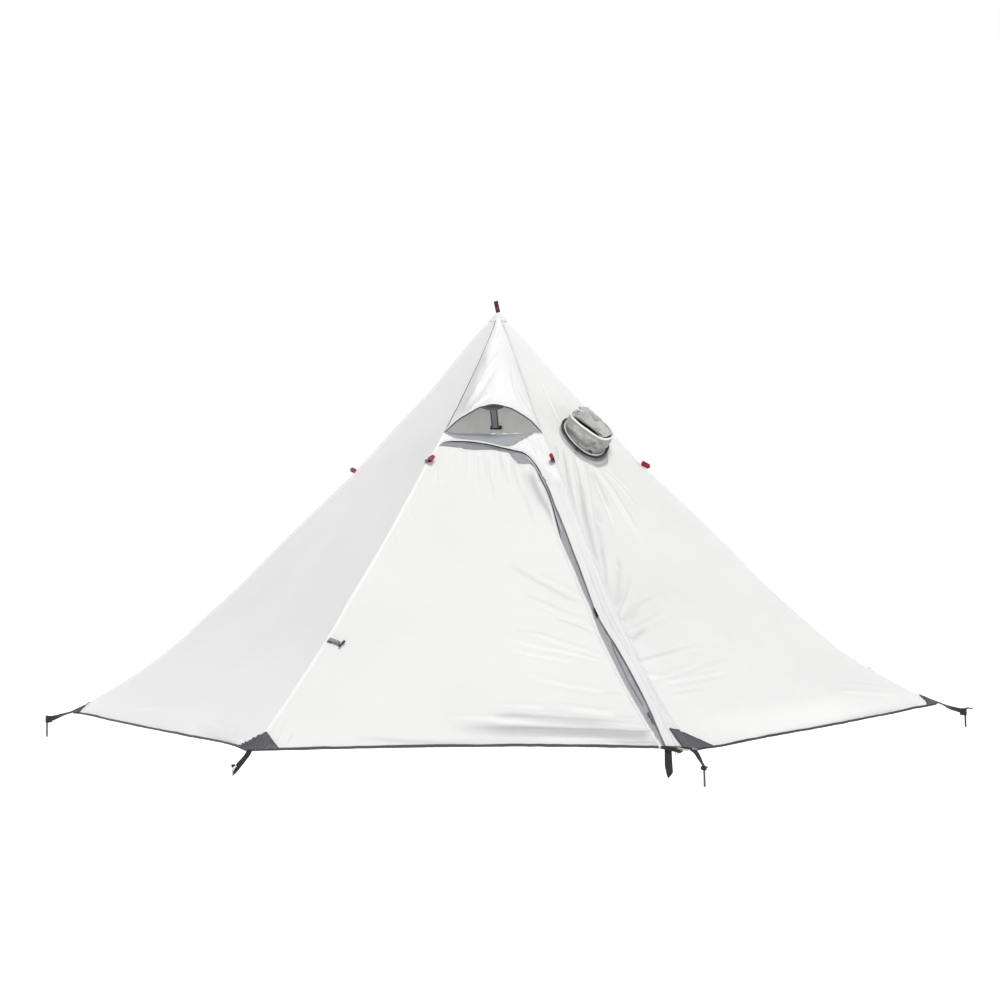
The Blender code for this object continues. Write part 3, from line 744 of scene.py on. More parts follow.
def cord_cloth(name, rgb):
    """Braided cord: crossing strands round it."""
    t = Tree(name)
    u, v = t.uv()
    a = t.math("SINE", t.math("ADD", t.math("MULTIPLY", u, 900.0), t.math("MULTIPLY", v, 1500.0)))
    b = t.math("SINE", t.math("SUBTRACT", t.math("MULTIPLY", u, 900.0), t.math("MULTIPLY", v, 1500.0)))
    h = t.math("MAXIMUM", a, b)
    fuzz = t.noise(380.0, 3.0, 0.6)
    col = t.ramp(t.math("ADD", t.math("MULTIPLY", h, 0.25), t.math("MULTIPLY", fuzz, 0.6)),
                 [(0.15, tuple(c * 0.5 for c in rgb)), (0.7, tuple(min(1, c * 1.7) for c in rgb))])
    p = t.principled(Base_Color=col, Roughness=t.ramp(fuzz, [(0.2, (0.66,)), (0.8, (0.84,))]),
                     Normal=t.bump(h, 0.0004, 0.8))
    p.inputs["Sheen Weight"].default_value = 0.2
    return t.done(p)


def fuzzy(name, rgb):
    """Hook and loop: short rough pile."""
    t = Tree(name)
    pile = t.noise(900.0, 2.0, 0.7)
    tuft = t.n("TexVoronoi", Scale=520.0, Vector=t.obj_xyz()).outputs["Distance"]
    col = t.ramp(pile, [(0.3, tuple(c * 0.5 for c in rgb)), (0.75, tuple(min(1, c * 2.4 + 0.01) for c in rgb))])
    normal = t.bump(t.math("ADD", pile, tuft), 0.0008, 1.0)
    p = t.principled(Base_Color=col, Roughness=t.ramp(pile, [(0.2, (0.86,)), (0.8, (0.97,))]), Normal=normal)
    p.inputs["Sheen Weight"].default_value = 0.08
    return t.done(p)


def metal(name, rgb, rough=0.3, brushed=(1, 1, 1), wear=0.3, dark=0.5, metallic=1.0, bump=0.00015):
    """Metal with fine lines, dull patches and rubbed places."""
    t = Tree(name)
    mp = t.n("Mapping", Vector=t.obj_xyz())
    mp.inputs["Scale"].default_value = brushed
    lines = t.noise(60.0, 4.0, 0.65, vector=mp.outputs[0])
    worn = t.noise(38.0, 5.0, 0.6)
    mask = t.ramp(worn, [(0.45, (0.0,)), (0.75, (1.0,))])
    col = t.mix(t.math("MULTIPLY", mask, wear), rgb, tuple(c * dark for c in rgb))
    col = t.mix(t.math("MULTIPLY", lines, 0.2), col, tuple(min(1, c * 1.25) for c in rgb))
    r = t.ramp(lines, [(0.25, (max(rough - 0.08, 0.05),)), (0.75, (rough + 0.14,))])
    p = t.principled(Base_Color=col, Roughness=r, Normal=t.bump(lines, bump, 0.6))
    p.inputs["Metallic"].default_value = metallic
    return t.done(p)


def plastic(name, rgb, rough=0.42, grain=260.0):
    """Moulded plastic: fine spark texture and rubbed patches."""
    t = Tree(name)
    g = t.n("TexVoronoi", Scale=grain, Vector=t.obj_xyz()).outputs["Distance"]
    worn = t.noise(24.0, 4.0, 0.6)
    col = t.ramp(worn, [(0.25, tuple(c * 0.75 for c in rgb)), (0.75, tuple(min(1, c * 1.7 + 0.01) for c in rgb))])
    r = t.ramp(worn, [(0.2, (rough,)), (0.8, (min(1, rough + 0.2),))])
    p = t.principled(Base_Color=col, Roughness=r, Normal=t.bump(g, 0.0002, 0.5))
    return t.done(p)


def coil_teeth(name):
    """Zip coil: evenly spaced slanting teeth along its length."""
    t = Tree(name)
    u, v = t.uv()
    f = t.math("SINE", t.math("ADD", t.math("MULTIPLY", v, 2 * pi / 0.0020), t.math("MULTIPLY", u, 500.0)))
    fuzz = t.noise(300.0, 2.0, 0.5)
    col = t.ramp(t.math("ADD", t.math("MULTIPLY", f, 0.4), t.math("MULTIPLY", fuzz, 0.5)),
                 [(0.1, (0.03, 0.03, 0.035)), (0.5, (0.11, 0.11, 0.12)), (0.9, (0.22, 0.22, 0.24))])
    p = t.principled(Base_Color=col, Roughness=t.ramp(fuzz, [(0.2, (0.34,)), (0.8, (0.46,))]),
                     Normal=t.bump(f, 0.0006, 1.0))
    return t.done(p)


M_CLOTH = canopy_cloth("canopy_white", tone=(0.952, 0.950, 0.944))
M_SEAM = canopy_cloth("canopy_seam", tone=(1.03, 1.03, 1.03), through=0.06, stitched=True)
# painted highlight: the front-left ridge seam takes a brighter copy of the seam cloth
M_SEAM_HIGHLIT = canopy_cloth("canopy_seam_front_painted_highlight", tone=(1.12, 1.12, 1.115), through=0.02, stitched=True)
M_FLAP = canopy_cloth("canopy_flap", tone=(1.02, 1.02, 1.015), through=0.12)
# painted light: the hood takes the canopy's white cloth with a raised tone, so it looks as brightly lit as the front
M_HOOD_LIT = canopy_cloth("canopy_hood_painted_light", tone=(1.11, 1.11, 1.105), through=0.03, crease=0.0022)
M_PIPING = canopy_cloth("white_binding", tone=(1.04, 1.04, 1.03), through=0.0, crease=0.0008)
M_BIND = tape("grey_binding", (0.085, 0.085, 0.095), twill=False, light=1.5)
M_BIND_DARK = tape("dark_binding", (0.030, 0.030, 0.036), twill=False, light=1.6)
M_GREYWEB = tape("grey_webbing", (0.19, 0.19, 0.205), light=1.5)
M_TIEWEB = tape("tieback_webbing", (0.33, 0.32, 0.35), light=1.4)
M_BLACKWEB = tape("black_webbing", (0.010, 0.010, 0.011), light=2.4)
M_REDWEB = tape("red_webbing", (0.30, 0.010, 0.018), light=1.7, dirt=0.05)
M_DARKRED = tape("dark_red_webbing", (0.060, 0.006, 0.010), light=2.6)
M_DUSKY = tape("dusky_red_webbing", (0.30, 0.045, 0.060), light=1.7, dirt=0.25)
M_PATCH = ripstop("patch_ripstop", (0.088, 0.087, 0.103))
M_ZIPTAPE = tape("zip_tape", (0.47, 0.475, 0.50), pitch=0.0016, twill=False, light=1.25, sheen=0.05)
# painted shade: a darker copy of the zip tape for its top run under the yoke's overhang
M_ZIPTOP_SHADE = tape("zip_tape_top_shaded", (0.37, 0.375, 0.39), pitch=0.0016, twill=False, light=1.25, sheen=0.05)
M_SHADOWTAPE = tape("zip_tape_shaded", (0.26, 0.26, 0.28), twill=False, light=1.5)
# painted highlight: a paler copy of the zip tape for the coil's crown
M_ZIP_HIGHLIGHT = tape("zip_tape_painted_highlight", (0.66, 0.66, 0.68), pitch=0.0016, twill=False, light=1.15, sheen=0.05)
M_ZIPPALE = tape("zip_pale", (0.43, 0.44, 0.465), pitch=0.0016, twill=False, light=1.15, sheen=0.05)
# painted shadow: the sill strip's blue-grey stands for the hood's shadow on white cloth
M_SILL_SHADE = canopy_cloth("sill_painted_shade", tone=(0.44, 0.455, 0.475), through=0.0)
# painted light: the brim's hem takes the same raised tone as the hood
M_BRIM_LIT = canopy_cloth("brim_cloth_painted_light", tone=(1.12, 1.12, 1.11), through=0.0, stitched=True)
M_LIGHTPIPING = tape("light_piping", (0.42, 0.42, 0.43), twill=False, light=1.3)
M_COIL = coil_teeth("zip_coil")
M_GLASS = glass_cloth("glass_cloth", (0.47, 0.47, 0.455))
M_COVER = glass_cloth("glass_cloth_cover", (0.62, 0.62, 0.615))
M_GLASS_IN = glass_cloth("glass_cloth_back", (0.40, 0.40, 0.385))
# painted shade: the flange's pale blue-grey stands for the collar's shadow on the canopy
M_FLANGE_SHADE = glass_cloth("glass_cloth_painted_shade", (0.55, 0.575, 0.61))
# painted shade: a near-black copy of the glass cloth for the shade inside the collar
M_SLOT_SHADE = glass_cloth("glass_cloth_inside_painted_shade", (0.035, 0.035, 0.036))
M_NET = net("vent_net", (0.64, 0.64, 0.63))
M_CORD = cord_cloth("black_cord", (0.012, 0.012, 0.014))
M_PALECORD = cord_cloth("pale_cord", (0.50, 0.47, 0.38))
M_VELCRO = fuzzy("hook_and_loop", (0.005, 0.005, 0.0055))
M_ALU = metal("pole_aluminium", (0.62, 0.63, 0.65), 0.28, (6, 6, 0.4))
M_PEG = metal("peg_metal", (0.045, 0.050, 0.028), 0.42, (1, 1, 4), wear=0.8, dark=2.2, metallic=0.75)
M_STEEL = metal("small_metal", (0.66, 0.63, 0.52), 0.30, (2, 2, 2))
M_GUN = metal("zip_metal", (0.10, 0.10, 0.105), 0.30, (2, 6, 2))
M_SLIDER = metal("zip_slider_metal", (0.24, 0.24, 0.255), 0.34, (2, 6, 2))
M_PLASTIC = plastic("black_plastic", (0.020, 0.020, 0.021))
M_PALEPLASTIC = plastic("pale_plastic", (0.52, 0.53, 0.53), 0.38)
M_RUBBER = plastic("rubber", (0.022, 0.022, 0.022), 0.74, 420.0)


# =====================================================================
#  Folds that the photograph shows, then quiet ones for the other sides
# =====================================================================
# front: gathers under the top of the zip
for pts, a, w in (
        ([(475, 452), (475.5, 480), (476, 511)], 1.6, 5), ([(485.7, 452), (487, 472), (489, 497)], 2.6, 5),
        ([(493, 452), (493.5, 474), (491, 492)], -2.0, 4), ([(501.5, 453), (503, 470), (506, 493)], 2.6, 5),
        ([(509, 456), (511, 474), (515, 499)], -2.4, 5), ([(468, 452), (467, 470), (463, 500)], 1.2, 6),
        ([(457, 450), (456, 468), (452, 490)], 1.0, 6), ([(515, 462), (519, 482), (526, 515)], 2.4, 6)):
    fold(0, pts, a, w, "r", (0.0, 0.75))
fold(0, [(527, 466), (537, 483), (549, 507), (557, 536)], -7.0, 20, "r", (0.25, 0.5))
fold(0, [(524, 467), (529, 492), (535, 520), (545, 556)], 3.0, 9, "r", (0.1, 0.6))
fold(0, [(532, 468), (543, 492), (553, 520)], 2.2, 6, "s", (0.2, 0.4))
# front: folds that the hook-and-loop tab pulls towards itself
for pts, a, w, kind in (
        ([(504, 561), (532, 574), (562, 589), (584, 600)], 3.6, 13, "s"),
        ([(514, 589), (540, 603), (566, 616), (594, 625)], 3.2, 10, "s"),
        ([(540, 584), (556, 591), (577, 599)], 2.4, 9, "s"),
        ([(540, 604), (570, 619), (601, 634)], 3.0, 9, "s"),
        ([(517, 627), (540, 636), (575, 648), (609, 659)], 2.8, 9, "s"),
        ([(499, 636), (530, 645), (570, 653), (612, 664)], 2.4, 8, "s"),
        ([(505, 648), (535, 655), (575, 662)], 1.6, 8, "s"),
        ([(520, 672), (560, 684), (613, 693)], 1.6, 10, "s"),
        ([(540, 703), (580, 709), (620, 715)], 1.6, 9, "s")):
    fold(0, pts, -a, w, kind, (0.45, 0.2))
# front: long level folds above the hem
fold(0, [(430, 716), (500, 719), (570, 722), (640, 728), (656, 730)], -4.6, 10, "s", (0.5, 0.1))
fold(0, [(450, 729), (520, 731), (600, 733), (662, 736)], -5.4, 9, "s", (0.5, 0.05))
fold(0, [(470, 703), (540, 707), (610, 714), (640, 716)], -2.0, 9, "s", (0.5, 0.3))
fold(0, [(560, 741), (610, 741), (660, 742)], 2.6, 7, "s", (0.5, 0.1))
# front: puckers off the left ridge
for pts, a, w in (
        ([(421, 476), (417, 492), (415, 506)], 1.6, 4), ([(431, 470), (428, 484), (424, 500)], 1.8, 4),
        ([(437, 468), (438, 480), (437, 497)], -1.6, 5), ([(410, 500), (408, 520), (404, 540)], 1.2, 5),
        ([(386, 536), (388, 545), (391, 556)], 2.0, 4), ([(392, 528), (397, 540), (398, 556)], -1.6, 4),
        ([(398, 520), (405, 535), (407, 552)], 1.4, 5), ([(412, 512), (421, 530), (423, 552)], -1.2, 5),
        ([(369, 566), (371, 576), (366, 592)], 1.4, 5), ([(354, 598), (353, 611), (347, 624)], 1.2, 5),
        ([(277, 740), (281, 724), (286, 708)], 1.6, 4), ([(284, 742), (292, 729), (300, 716)], -1.2, 5)):
    fold(0, pts, a, w, "s", (0.0, 0.7))
# yoke: gathers between the vent's right corner and the zip
for pts, a, w in (
        ([(519, 438), (524, 444), (531, 452)], 1.6, 4), ([(525, 434), (531, 443), (538, 457)], -1.8, 4),
        ([(531, 432), (538, 443), (545, 460)], 1.8, 4), ([(537, 432), (544, 446), (551, 466)], -1.4, 4),
        ([(512, 440), (516, 444), (522, 449)], 1.0, 4)):
    fold(0, pts, a * 1.8, w, "s", (0.1, 0.3))

# right of the door: folds that run down from the stove-pipe opening
for pts, a, w, kind in (
        ([(565, 449), (567, 466), (569, 489), (575, 516)], -4.6, 6, "r"),
        ([(577, 455), (580, 470), (582, 484), (586, 520), (594, 548)], -5.0, 7, "r"),
        ([(583, 458), (587, 480), (592, 512), (600, 548)], 3.0, 8, "r"),
        ([(590, 464), (597, 484), (608, 509), (622, 545)], -4.0, 8, "r"),
        ([(595, 464), (604, 478), (618, 499), (630, 520), (665, 573)], 3.2, 6, "s"),
        ([(557, 446), (558, 460), (560, 478), (566, 500)], -3.4, 6, "r"),
        ([(555, 470), (562, 484), (569, 496), (578, 521), (588, 548)], 2.6, 6, "s"),
        ([(605, 467), (616, 478), (626, 489), (642, 510)], 2.0, 9, "s"),
        ([(580, 480), (587, 514), (599, 567), (609, 591)], -4.2, 8, "s"),
        ([(571, 452), (573, 470), (576, 500), (583, 530)], 2.6, 7, "r"),
        ([(600, 520), (606, 548), (613, 580), (617, 604)], -3.6, 15, "r"),
        ([(620, 566), (621, 585), (618, 608)], -2.4, 11, "r")):
    fold(1, pts, a * 1.6, w, kind, (0.05, 0.6))
# right of the door: the two long lines above it
fold(1, [(537, 372), (548, 395), (561, 421)], -1.6, 4, "s", (0.3, 0.0))
fold(1, [(545, 378), (556, 392), (572, 410)], 1.6, 5, "s", (0.3, 0.1))
fold(1, [(548, 372), (566, 396), (585, 405)], 1.0, 7, "s", (0.3, 0.2))
# right of the door: the star of folds at the ridge
for pts, a, w, kind in (
        ([(620, 616), (624, 606), (631, 587), (636, 566)], -5.0, 10, "s"),
        ([(623, 622), (633, 613), (645, 602), (664, 590)], 5.0, 10, "s"),
        ([(629, 634), (640, 630), (655, 621), (676, 610)], -4.2, 10, "s"),
        ([(633, 643), (643, 634), (655, 624)], 4.0, 7, "r"),
        ([(632, 638), (636, 634), (642, 631)], -4.0, 5, "r"),
        ([(641, 662), (660, 656), (683, 648), (712, 641)], 3.6, 10, "s"),
        ([(648, 676), (668, 676), (697, 667), (722, 659)], -3.4, 11, "s"),
        ([(660, 677), (690, 671), (715, 662), (745, 655)], 2.4, 12, "s"),
        ([(672, 682), (697, 678), (723, 672), (750, 668)], -2.2, 9, "s"),
        ([(680, 693), (697, 690), (716, 686)], 1.8, 9, "s")):
    fold(1, pts, a * 1.3, w, kind, (0.05, 0.6))
# right of the door: the roll above its hem, and level lines near its far corner
fold(1, [(745, 736), (800, 726), (860, 714), (925, 701)], 3.0, 16, "s", (0.3, 0.3))
fold(1, [(829, 691), (866, 693), (905, 695)], -1.8, 8, "s", (0.3, 0.3))
fold(1, [(838, 681), (872, 684), (900, 689)], 1.2, 8, "s", (0.3, 0.3))
# left of the door: one crease near its hem and the folds at the door's corner
fold(7, [(132, 708), (150, 707), (171, 709)], -2.4, 7, "s", (0.3, 0.3))
fold(7, [(182, 723), (203, 729), (226, 737), (238, 742)], -4.6, 9, "s", (0.4, 0.05))
fold(7, [(205, 718), (225, 727), (244, 739)], -5.4, 7, "s", (0.4, 0.0))
fold(7, [(190, 733), (206, 737), (228, 742)], 3.2, 8, "s", (0.3, 0.2))
# long soft line beside the left silhouette
for pts, a, w, d in (([(352.3, 484.8), (338.3, 496.3), (325.5, 506.5), (310, 521)], -1.6, 3, .22),
                     ([(358.7, 482.9), (348.5, 491.9), (335.7, 502.7), (317.2, 518.6), (296, 537)], -2.2, 4, .28)):
    fold(7, pts, a, w, "s", (0.15, 0.45))
    shade_line(7, pts, d, w, (0.15, 0.45))
# shade in the deep folds: the door's valley beside the zip, its gathers and the folds towards the tab
for pts, d, w in (
        ([(528.5, 467), (530.7, 473.4), (533.8, 481.4), (538.4, 491.8), (543.4, 501.3), (548.7, 509.8), (551.8, 517.4),
          (556, 530)], .60, 12),
        ([(523.7, 468), (530, 484), (537.5, 498), (545, 512)], .20, 14),
        ([(487.6, 453), (488.9, 474.2), (492.9, 486.2), (494.3, 505)], .15, 5),
        ([(499.6, 453), (502.3, 463.5), (506.3, 476.9), (510.4, 487.6)], .17, 5),
        ([(476.9, 452), (478.2, 470.2), (479.6, 483.6)], .10, 6),
        ([(510.4, 456.8), (515.7, 476.9), (523.7, 494.3), (531.8, 515.7), (537.1, 534.5)], .11, 6),
        ([(505, 561.2), (523.7, 572), (543.8, 584), (563.9, 594.7), (586, 605)], .24, 9),
        ([(522, 593), (537, 600), (551, 605.5), (563, 612)], .12, 7),
        ([(550.5, 617.5), (570.6, 622.9), (590.7, 630.9), (600, 635)], .18, 6),
        ([(513, 629.5), (537.1, 632.2), (557.2, 637.6)], .14, 5),
        ([(486, 713.7), (516.5, 716), (547, 719), (577.8, 721.4), (608.4, 722.9), (631.3, 724.4)], .46, 14),
        ([(486, 720.6), (547, 724.4), (608.4, 728.3)], -.30, 9),
        ([(538, 706.8), (562.5, 709.1), (577.8, 710.7)], .13, 7), ([(611.4, 714.5), (625, 716.3), (639, 718.3)], .16, 6),
        ([(600.7, 692.3), (626.7, 694.6)], .12, 6), ([(440, 739.7), (486, 739.7), (532, 741.3), (562.5, 742)], .14, 9),
        ([(531.8, 736.7), (580, 738), (623.7, 739)], -.20, 9),
        ([(291.5, 731.5), (289, 737), (287, 744)], .20, 4)):
    shade_line(0, pts, d, w)
shade_line(0, [(440, 726.7), (486, 728.3), (547, 730.1), (608.4, 732.9), (651, 734.7), (658, 735.4)], .80, 19, (0.35, 0.08))
shade_line(0, [(608, 742.6), (630, 742.6), (646.6, 742.8), (660, 744.3)], .45, 8, (0.4, 0.05))
shade_line(0, [(345, 736.8), (380, 738.6), (415, 740.6), (455, 742.2), (510, 742.8)], .34, 8, (0.35, 0.45))
shade_line(7, [(188, 724.2), (207, 730), (225, 736.3), (237, 743), (247, 749)], .42, 6, (0.4, 0.05))
# painted shade on the yoke beside the zip
for pts, d, w in (
        ([(540.3, 461.1), (543, 465.7), (544.9, 469.9), (548, 476.5), (549.5, 481.4), (551.8, 486.8), (554.9, 494.4),
          (557.5, 503.2), (559.4, 509.7)], .25, 4),
        ([(546.4, 466.9), (549.5, 473.4), (551.8, 478), (555.6, 486.8), (558.7, 494.4), (561.7, 501.3), (564.8, 509.8),
          (567.1, 516.6)], .15, 5),
        ([(559.4, 472.2), (563.7, 483.7), (567.1, 493.3), (569, 498.3), (572.8, 509.8), (575.9, 518.9)], .38, 4),
        ([(525, 438), (530, 445.5), (533.5, 450)], .16, 4), ([(531, 436), (536, 446), (540, 452)], .20, 4),
        ([(537, 435), (541, 447), (545, 454)], .16, 4), ([(545, 433), (551, 446), (556, 457)], .20, 4)):
    shade_line(0, pts, d, w)
# painted shade and light right of the door: under the stove-pipe opening, and down to the ridge of the door
for pts, d, w in (
        ([(557.2, 443.4), (557.9, 452), (558.6, 461.8)], .34, 5),
        ([(565.3, 444), (565.9, 456.8), (568, 474.2), (570, 488.9), (574.6, 505), (580, 521)], .46, 6),
        ([(576.6, 453), (578.7, 470.2), (581.3, 486.2), (584, 502.3), (588, 521), (592.7, 539.8), (597.4, 558.6),
          (602.8, 577.3), (608.1, 590.7)], .50, 6),
        ([(590.7, 464), (596, 475.5), (604, 493), (610.8, 510.4)], .30, 8),
        ([(598.7, 467), (609.5, 479.6), (621.5, 498.3), (630.9, 513), (640, 530.4)], .22, 5),
        ([(594.7, 500), (600, 520), (604.5, 543), (608, 566)], .16, 16),
        ([(602.8, 543.8), (606.5, 562), (608.6, 577.3), (610, 592)], .28, 7),
        ([(617.5, 550.5), (621.5, 563.9), (621.8, 590.7), (619.2, 612)], .22, 9),
        ([(630.6, 583.6), (629.6, 595.8), (623.5, 604)], .12, 5),
        ([(621.4, 624.4), (630.6, 619.3), (638.8, 613.2), (644.9, 609)], .16, 8),
        ([(632.6, 645.8), (640.8, 636.6), (648, 629.5), (654, 625.4)], .32, 10),
        ([(637.8, 663), (644.9, 660), (657, 656), (671.4, 653), (684.7, 651)], .15, 7),
        ([(640.8, 667.8), (653, 666.2)], .12, 4),
        ([(659, 677.4), (671.4, 673.4), (686.7, 668.3), (707, 662)], .17, 7),
        ([(676.5, 681.5), (691.8, 680.5), (707, 677.4), (725.5, 673.4)], .13, 8),
        ([(741, 734.5), (775, 729), (805, 723), (835, 717), (865, 711.5), (895, 705.5), (918, 700)], .55, 10),
        ([(741, 738.5), (775, 733.2), (805, 727.2), (835, 721.4), (865, 715.8), (895, 709.8), (918, 704.4)], -.30, 7)):
    shade_line(1, pts, d, w)

# hood: crumples down its left side, two soft lines down its right
HOOD_FOLDS = (
        ([(499, 330), (494, 343), (483, 361)], -5.0, 6, "s"), ([(501, 349), (490, 362), (481, 377), (471, 398)], -5.0, 8, "s"),
        ([(497, 366), (485, 383), (474, 405)], -4.0, 9, "r"), ([(487, 377), (476, 393), (463, 412)], 3.6, 7, "s"),
        ([(470, 380), (463, 396), (454, 415)], -2.6, 6, "s"), ([(492, 392), (480, 402), (468, 413)], 2.4, 6, "s"),
        ([(510, 364), (513, 388), (524, 409)], 1.6, 8, "s"), ([(515, 386), (524, 402), (535, 418)], 1.8, 7, "s"))

rng = np.random.RandomState(11)
for k in (2, 3, 4, 5, 6):
    for side in (-1, 1):
        # two or three creases fan out of each hem corner, two off each ridge higher up
        for i in range(3):
            a = rng.uniform(0.10, 0.26) * (i + 1)
            t1 = 0.985 - a * rng.uniform(0.30, 0.75)
            u1 = side * (0.96 - a * rng.uniform(0.6, 1.0))
            fold_here(k, [(0.985, side * 0.955), ((0.985 + t1) / 2 + 0.004, side * 0.955 / 2 + u1 / 2), (t1, u1)],
                      rng.choice([-1, 1]) * rng.uniform(2.0, 4.6), rng.uniform(7, 12), "s", (0.0, 0.8))
        for i in range(2):
            t0 = rng.uniform(0.45, 0.85)
            fold_here(k, [(t0, side * 0.97), (t0 + 0.02, side * 0.86), (t0 + 0.06, side * 0.70)],
                      rng.choice([-1, 1]) * rng.uniform(1.4, 3.0), rng.uniform(7, 11), "s", (0.0, 0.7))
    for i in range(3):
        u0 = rng.uniform(-0.7, 0.7)
        fold_here(k, [(0.10, u0), (0.30, u0 * 0.9), (0.55, u0 * 0.85 + rng.uniform(-.1, .1))],
                  rng.uniform(0.8, 1.8), rng.uniform(8, 14), "s", (0.1, 0.7))


def seam_puckers(d, y, seed, amp, reach=0.022, step=0.017):
    """Short gathers beside a seam: d metres from it, y metres along it."""
    return (amp * np.exp(-np.abs(d) / reach)
            * (noise(y / step, d / 0.12 + 5, seed) + 0.5 * noise(y / (step * 0.45), d / 0.06, seed + 1)))


SAG = {0: 0.004, 1: 0.009, 2: 0.012, 3: 0.012, 4: 0.012, 5: 0.012, 6: 0.010, 7: 0.008}
ROLL = {0: 0.003, 1: 0.020, 2: 0.014, 3: 0.015, 4: 0.013, 5: 0.015, 6: 0.012, 7: 0.006}


def lift_of(k, t, s):
    """How far the cloth stands off the flat face: sag, drawn folds, gathers at the seams, and quiet noise."""
    hw = np.maximum(half_width(t), 1e-4)
    u = np.clip(s / hw, -1, 1)
    y = arc(t)
    span = 1 - u * u
    body = smooth(t, 0.05, 0.5)
    out = -SAG[k] * span * body
    out = out - ROLL[k] * span ** 0.8 * smooth(t, 0.955, 1.0)
    out = out + ROLL[k] * 0.35 * span * smooth(t, 0.90, 0.955) * (1 - smooth(t, 0.955, 1.0))
    edge = hw - np.abs(s)
    pin = 1 - np.exp(-np.maximum(edge, 0) / 0.006)
    calm = 0.35 if k == 7 else 1.0
    out = out + calm * 0.0022 * noise(s * 4.2 + 9 * k, y * 2.0, 40 + k) * span
    out = out + calm * 0.0009 * noise(s * 21 + 3 * k, y * 6.5, 60 + k) * np.minimum(1, edge / 0.05)
    out = out + pin * folds_at(k, s, y)
    left, right = (k - 1) % 8, k
    amp = 0.0011 if k in (0, 1) else 0.0008
    out = out + seam_puckers(hw + s, y, 100 + left * 2 + 31 * (k == 0), amp * calm) * pin
    out = out + seam_puckers(hw - s, y, 101 + right * 2 + 17 * (k == 1), amp * calm) * pin
    out = out + seam_puckers((1.0 - t) * 1.9, s, 160 + k, 0.0012, 0.03, 0.022) * (1 - np.exp(-(1 - t) * 1.9 / 0.01))
    return out


HEM_RISE = {0: 0.0075, 1: 0.001, 2: 0.003, 3: 0.003, 4: 0.003, 5: 0.003, 6: 0.002, 7: 0.0005}


HEM_DRAWN = {
    7: [(-1, 0), (-.8, 0), (-.617, .0002), (-.445, .0014), (-.284, .0018), (-.125, .0028), (.025, .0036), (.167, .0041),
        (.302, .0042), (.434, .0046), (.56, .0053), (.685, .0060), (.80, .0045), (.87, .0034), (1, 0)],
    1: [(-1, 0), (-.838, 0), (-.733, .0006), (-.627, .0020), (-.517, .0035), (-.402, .0041), (-.285, .0048),
        (-.163, .0056), (-.036, .0054), (.096, .0055), (.232, .0048), (.373, .0046), (.522, .0041), (.676, .0033),
        (.838, .0030), (1, 0)]}


def hem_row(k, u):
    row = 1.0 - HEM_RISE[k] * (1 - u * u)
    return row - curve(HEM_DRAWN[k], u) if k in HEM_DRAWN else row


def cloth(k, t, s, extra=0.0):
    return on_face(k, t, s, lift_of(k, t, s) + extra)


def flat_area(k, t0, t1, width=lambda t: 2 * half_width(t)):
    t = np.linspace(t0, t1, 400)
    w = width(t)
    return float((((w[1:] + w[:-1]) / 2) * np.diff(arc(t))).sum())


PIECES = []


def finish_piece(obj, body, replaces=(), bend=None):
    if bend is None:
        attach(obj, body)
    else:
        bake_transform(obj)
    if replaces:
        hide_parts(*replaces)
    PIECES.append(obj)
    return obj


# =====================================================================
#  Plain canopy faces
# =====================================================================
FACE_NAMES = {1: "canopy_panel_right_front", 2: "canopy_panel_right", 3: "canopy_panel_right_rear",
              4: "canopy_panel_rear", 5: "canopy_panel_left_rear", 6: "canopy_panel_left",
              7: "canopy_panel_left_front"}
JACK_T, JACK_S = 0.3625, 0.025

for k, node in FACE_NAMES.items():
    step = {1: 0.0052, 7: 0.0068}.get(k, 0.0085) * 1.0
    rows, cols = int(2.05 / step), int(1.2246 / step)
    v = np.linspace(0, 1, rows)[:, None]
    u = np.linspace(-1, 1, cols)[None, :]
    # columns close up towards the ridges, where the gathers are
    u = np.sign(u) * (1 - (1 - np.abs(u)) ** 1.12)
    y_top = arc(T_TOP - 0.004)
    t_hem = hem_row(k, u)
    t = row_of(y_top + (arc(t_hem) - y_top) * v)
    s = half_width(t) * u
    p = cloth(k, t, s)
    keep = None
    if k == 1:
        keep = np.hypot(s - JACK_S, arc(t) - arc(JACK_T)) > 0.084
    obj = sheet_grid("cloth_" + node[13:], p, M_CLOTH, np.stack(np.broadcast_arrays(s, arc(t)), -1), keep=keep,
                     shade=shade_at(k, s, arc(t)) if SHADES[k] else None)
    finish_piece(obj, "tent_body", [node])
    round(flat_area(k, T_TOP, 1.0), 3)


# =====================================================================
#  Strips that follow a line on a face
# =====================================================================
def px_line(k, pixels, n):
    """Frame pixels to a smooth (s, y) line on face k with n points."""
    ts = face_at(k, pixels)
    return resample(smooth_line(np.stack([ts[:, 1], arc(ts[:, 0])], 1), n * 3), n)


def line_side(line):
    """Unit vectors to the right-hand and upper side of a line that runs right and down."""
    d = unit(np.gradient(line, axis=0))
    return np.stack([d[:, 1], -d[:, 0]], 1)


def shift(line, off):
    off = np.broadcast_to(np.asarray(off, float), (len(line),))
    return line + line_side(line) * off[:, None]


def ribbon(name, k, line, offs, lifts, mat, middle=0.0, wave=None, flip=False):
    offs, lifts = np.asarray(offs, float), np.asarray(lifts, float)
    q = line[:, None, :] + line_side(line)[:, None, :] * offs[None, :, None]
    s, t = q[..., 0], row_of(q[..., 1])
    extra = np.broadcast_to(lifts[None, :], s.shape).copy()
    if wave is not None:
        extra = extra + wave
    ln = np.concatenate([[0], np.cumsum(np.linalg.norm(np.diff(line, axis=0), axis=1))])
    uv = np.stack(np.broadcast_arrays(offs[None, :] - middle, ln[:, None]), -1)
    return sheet_grid(name, cloth(k, t, s, extra), mat, uv, flip=flip)


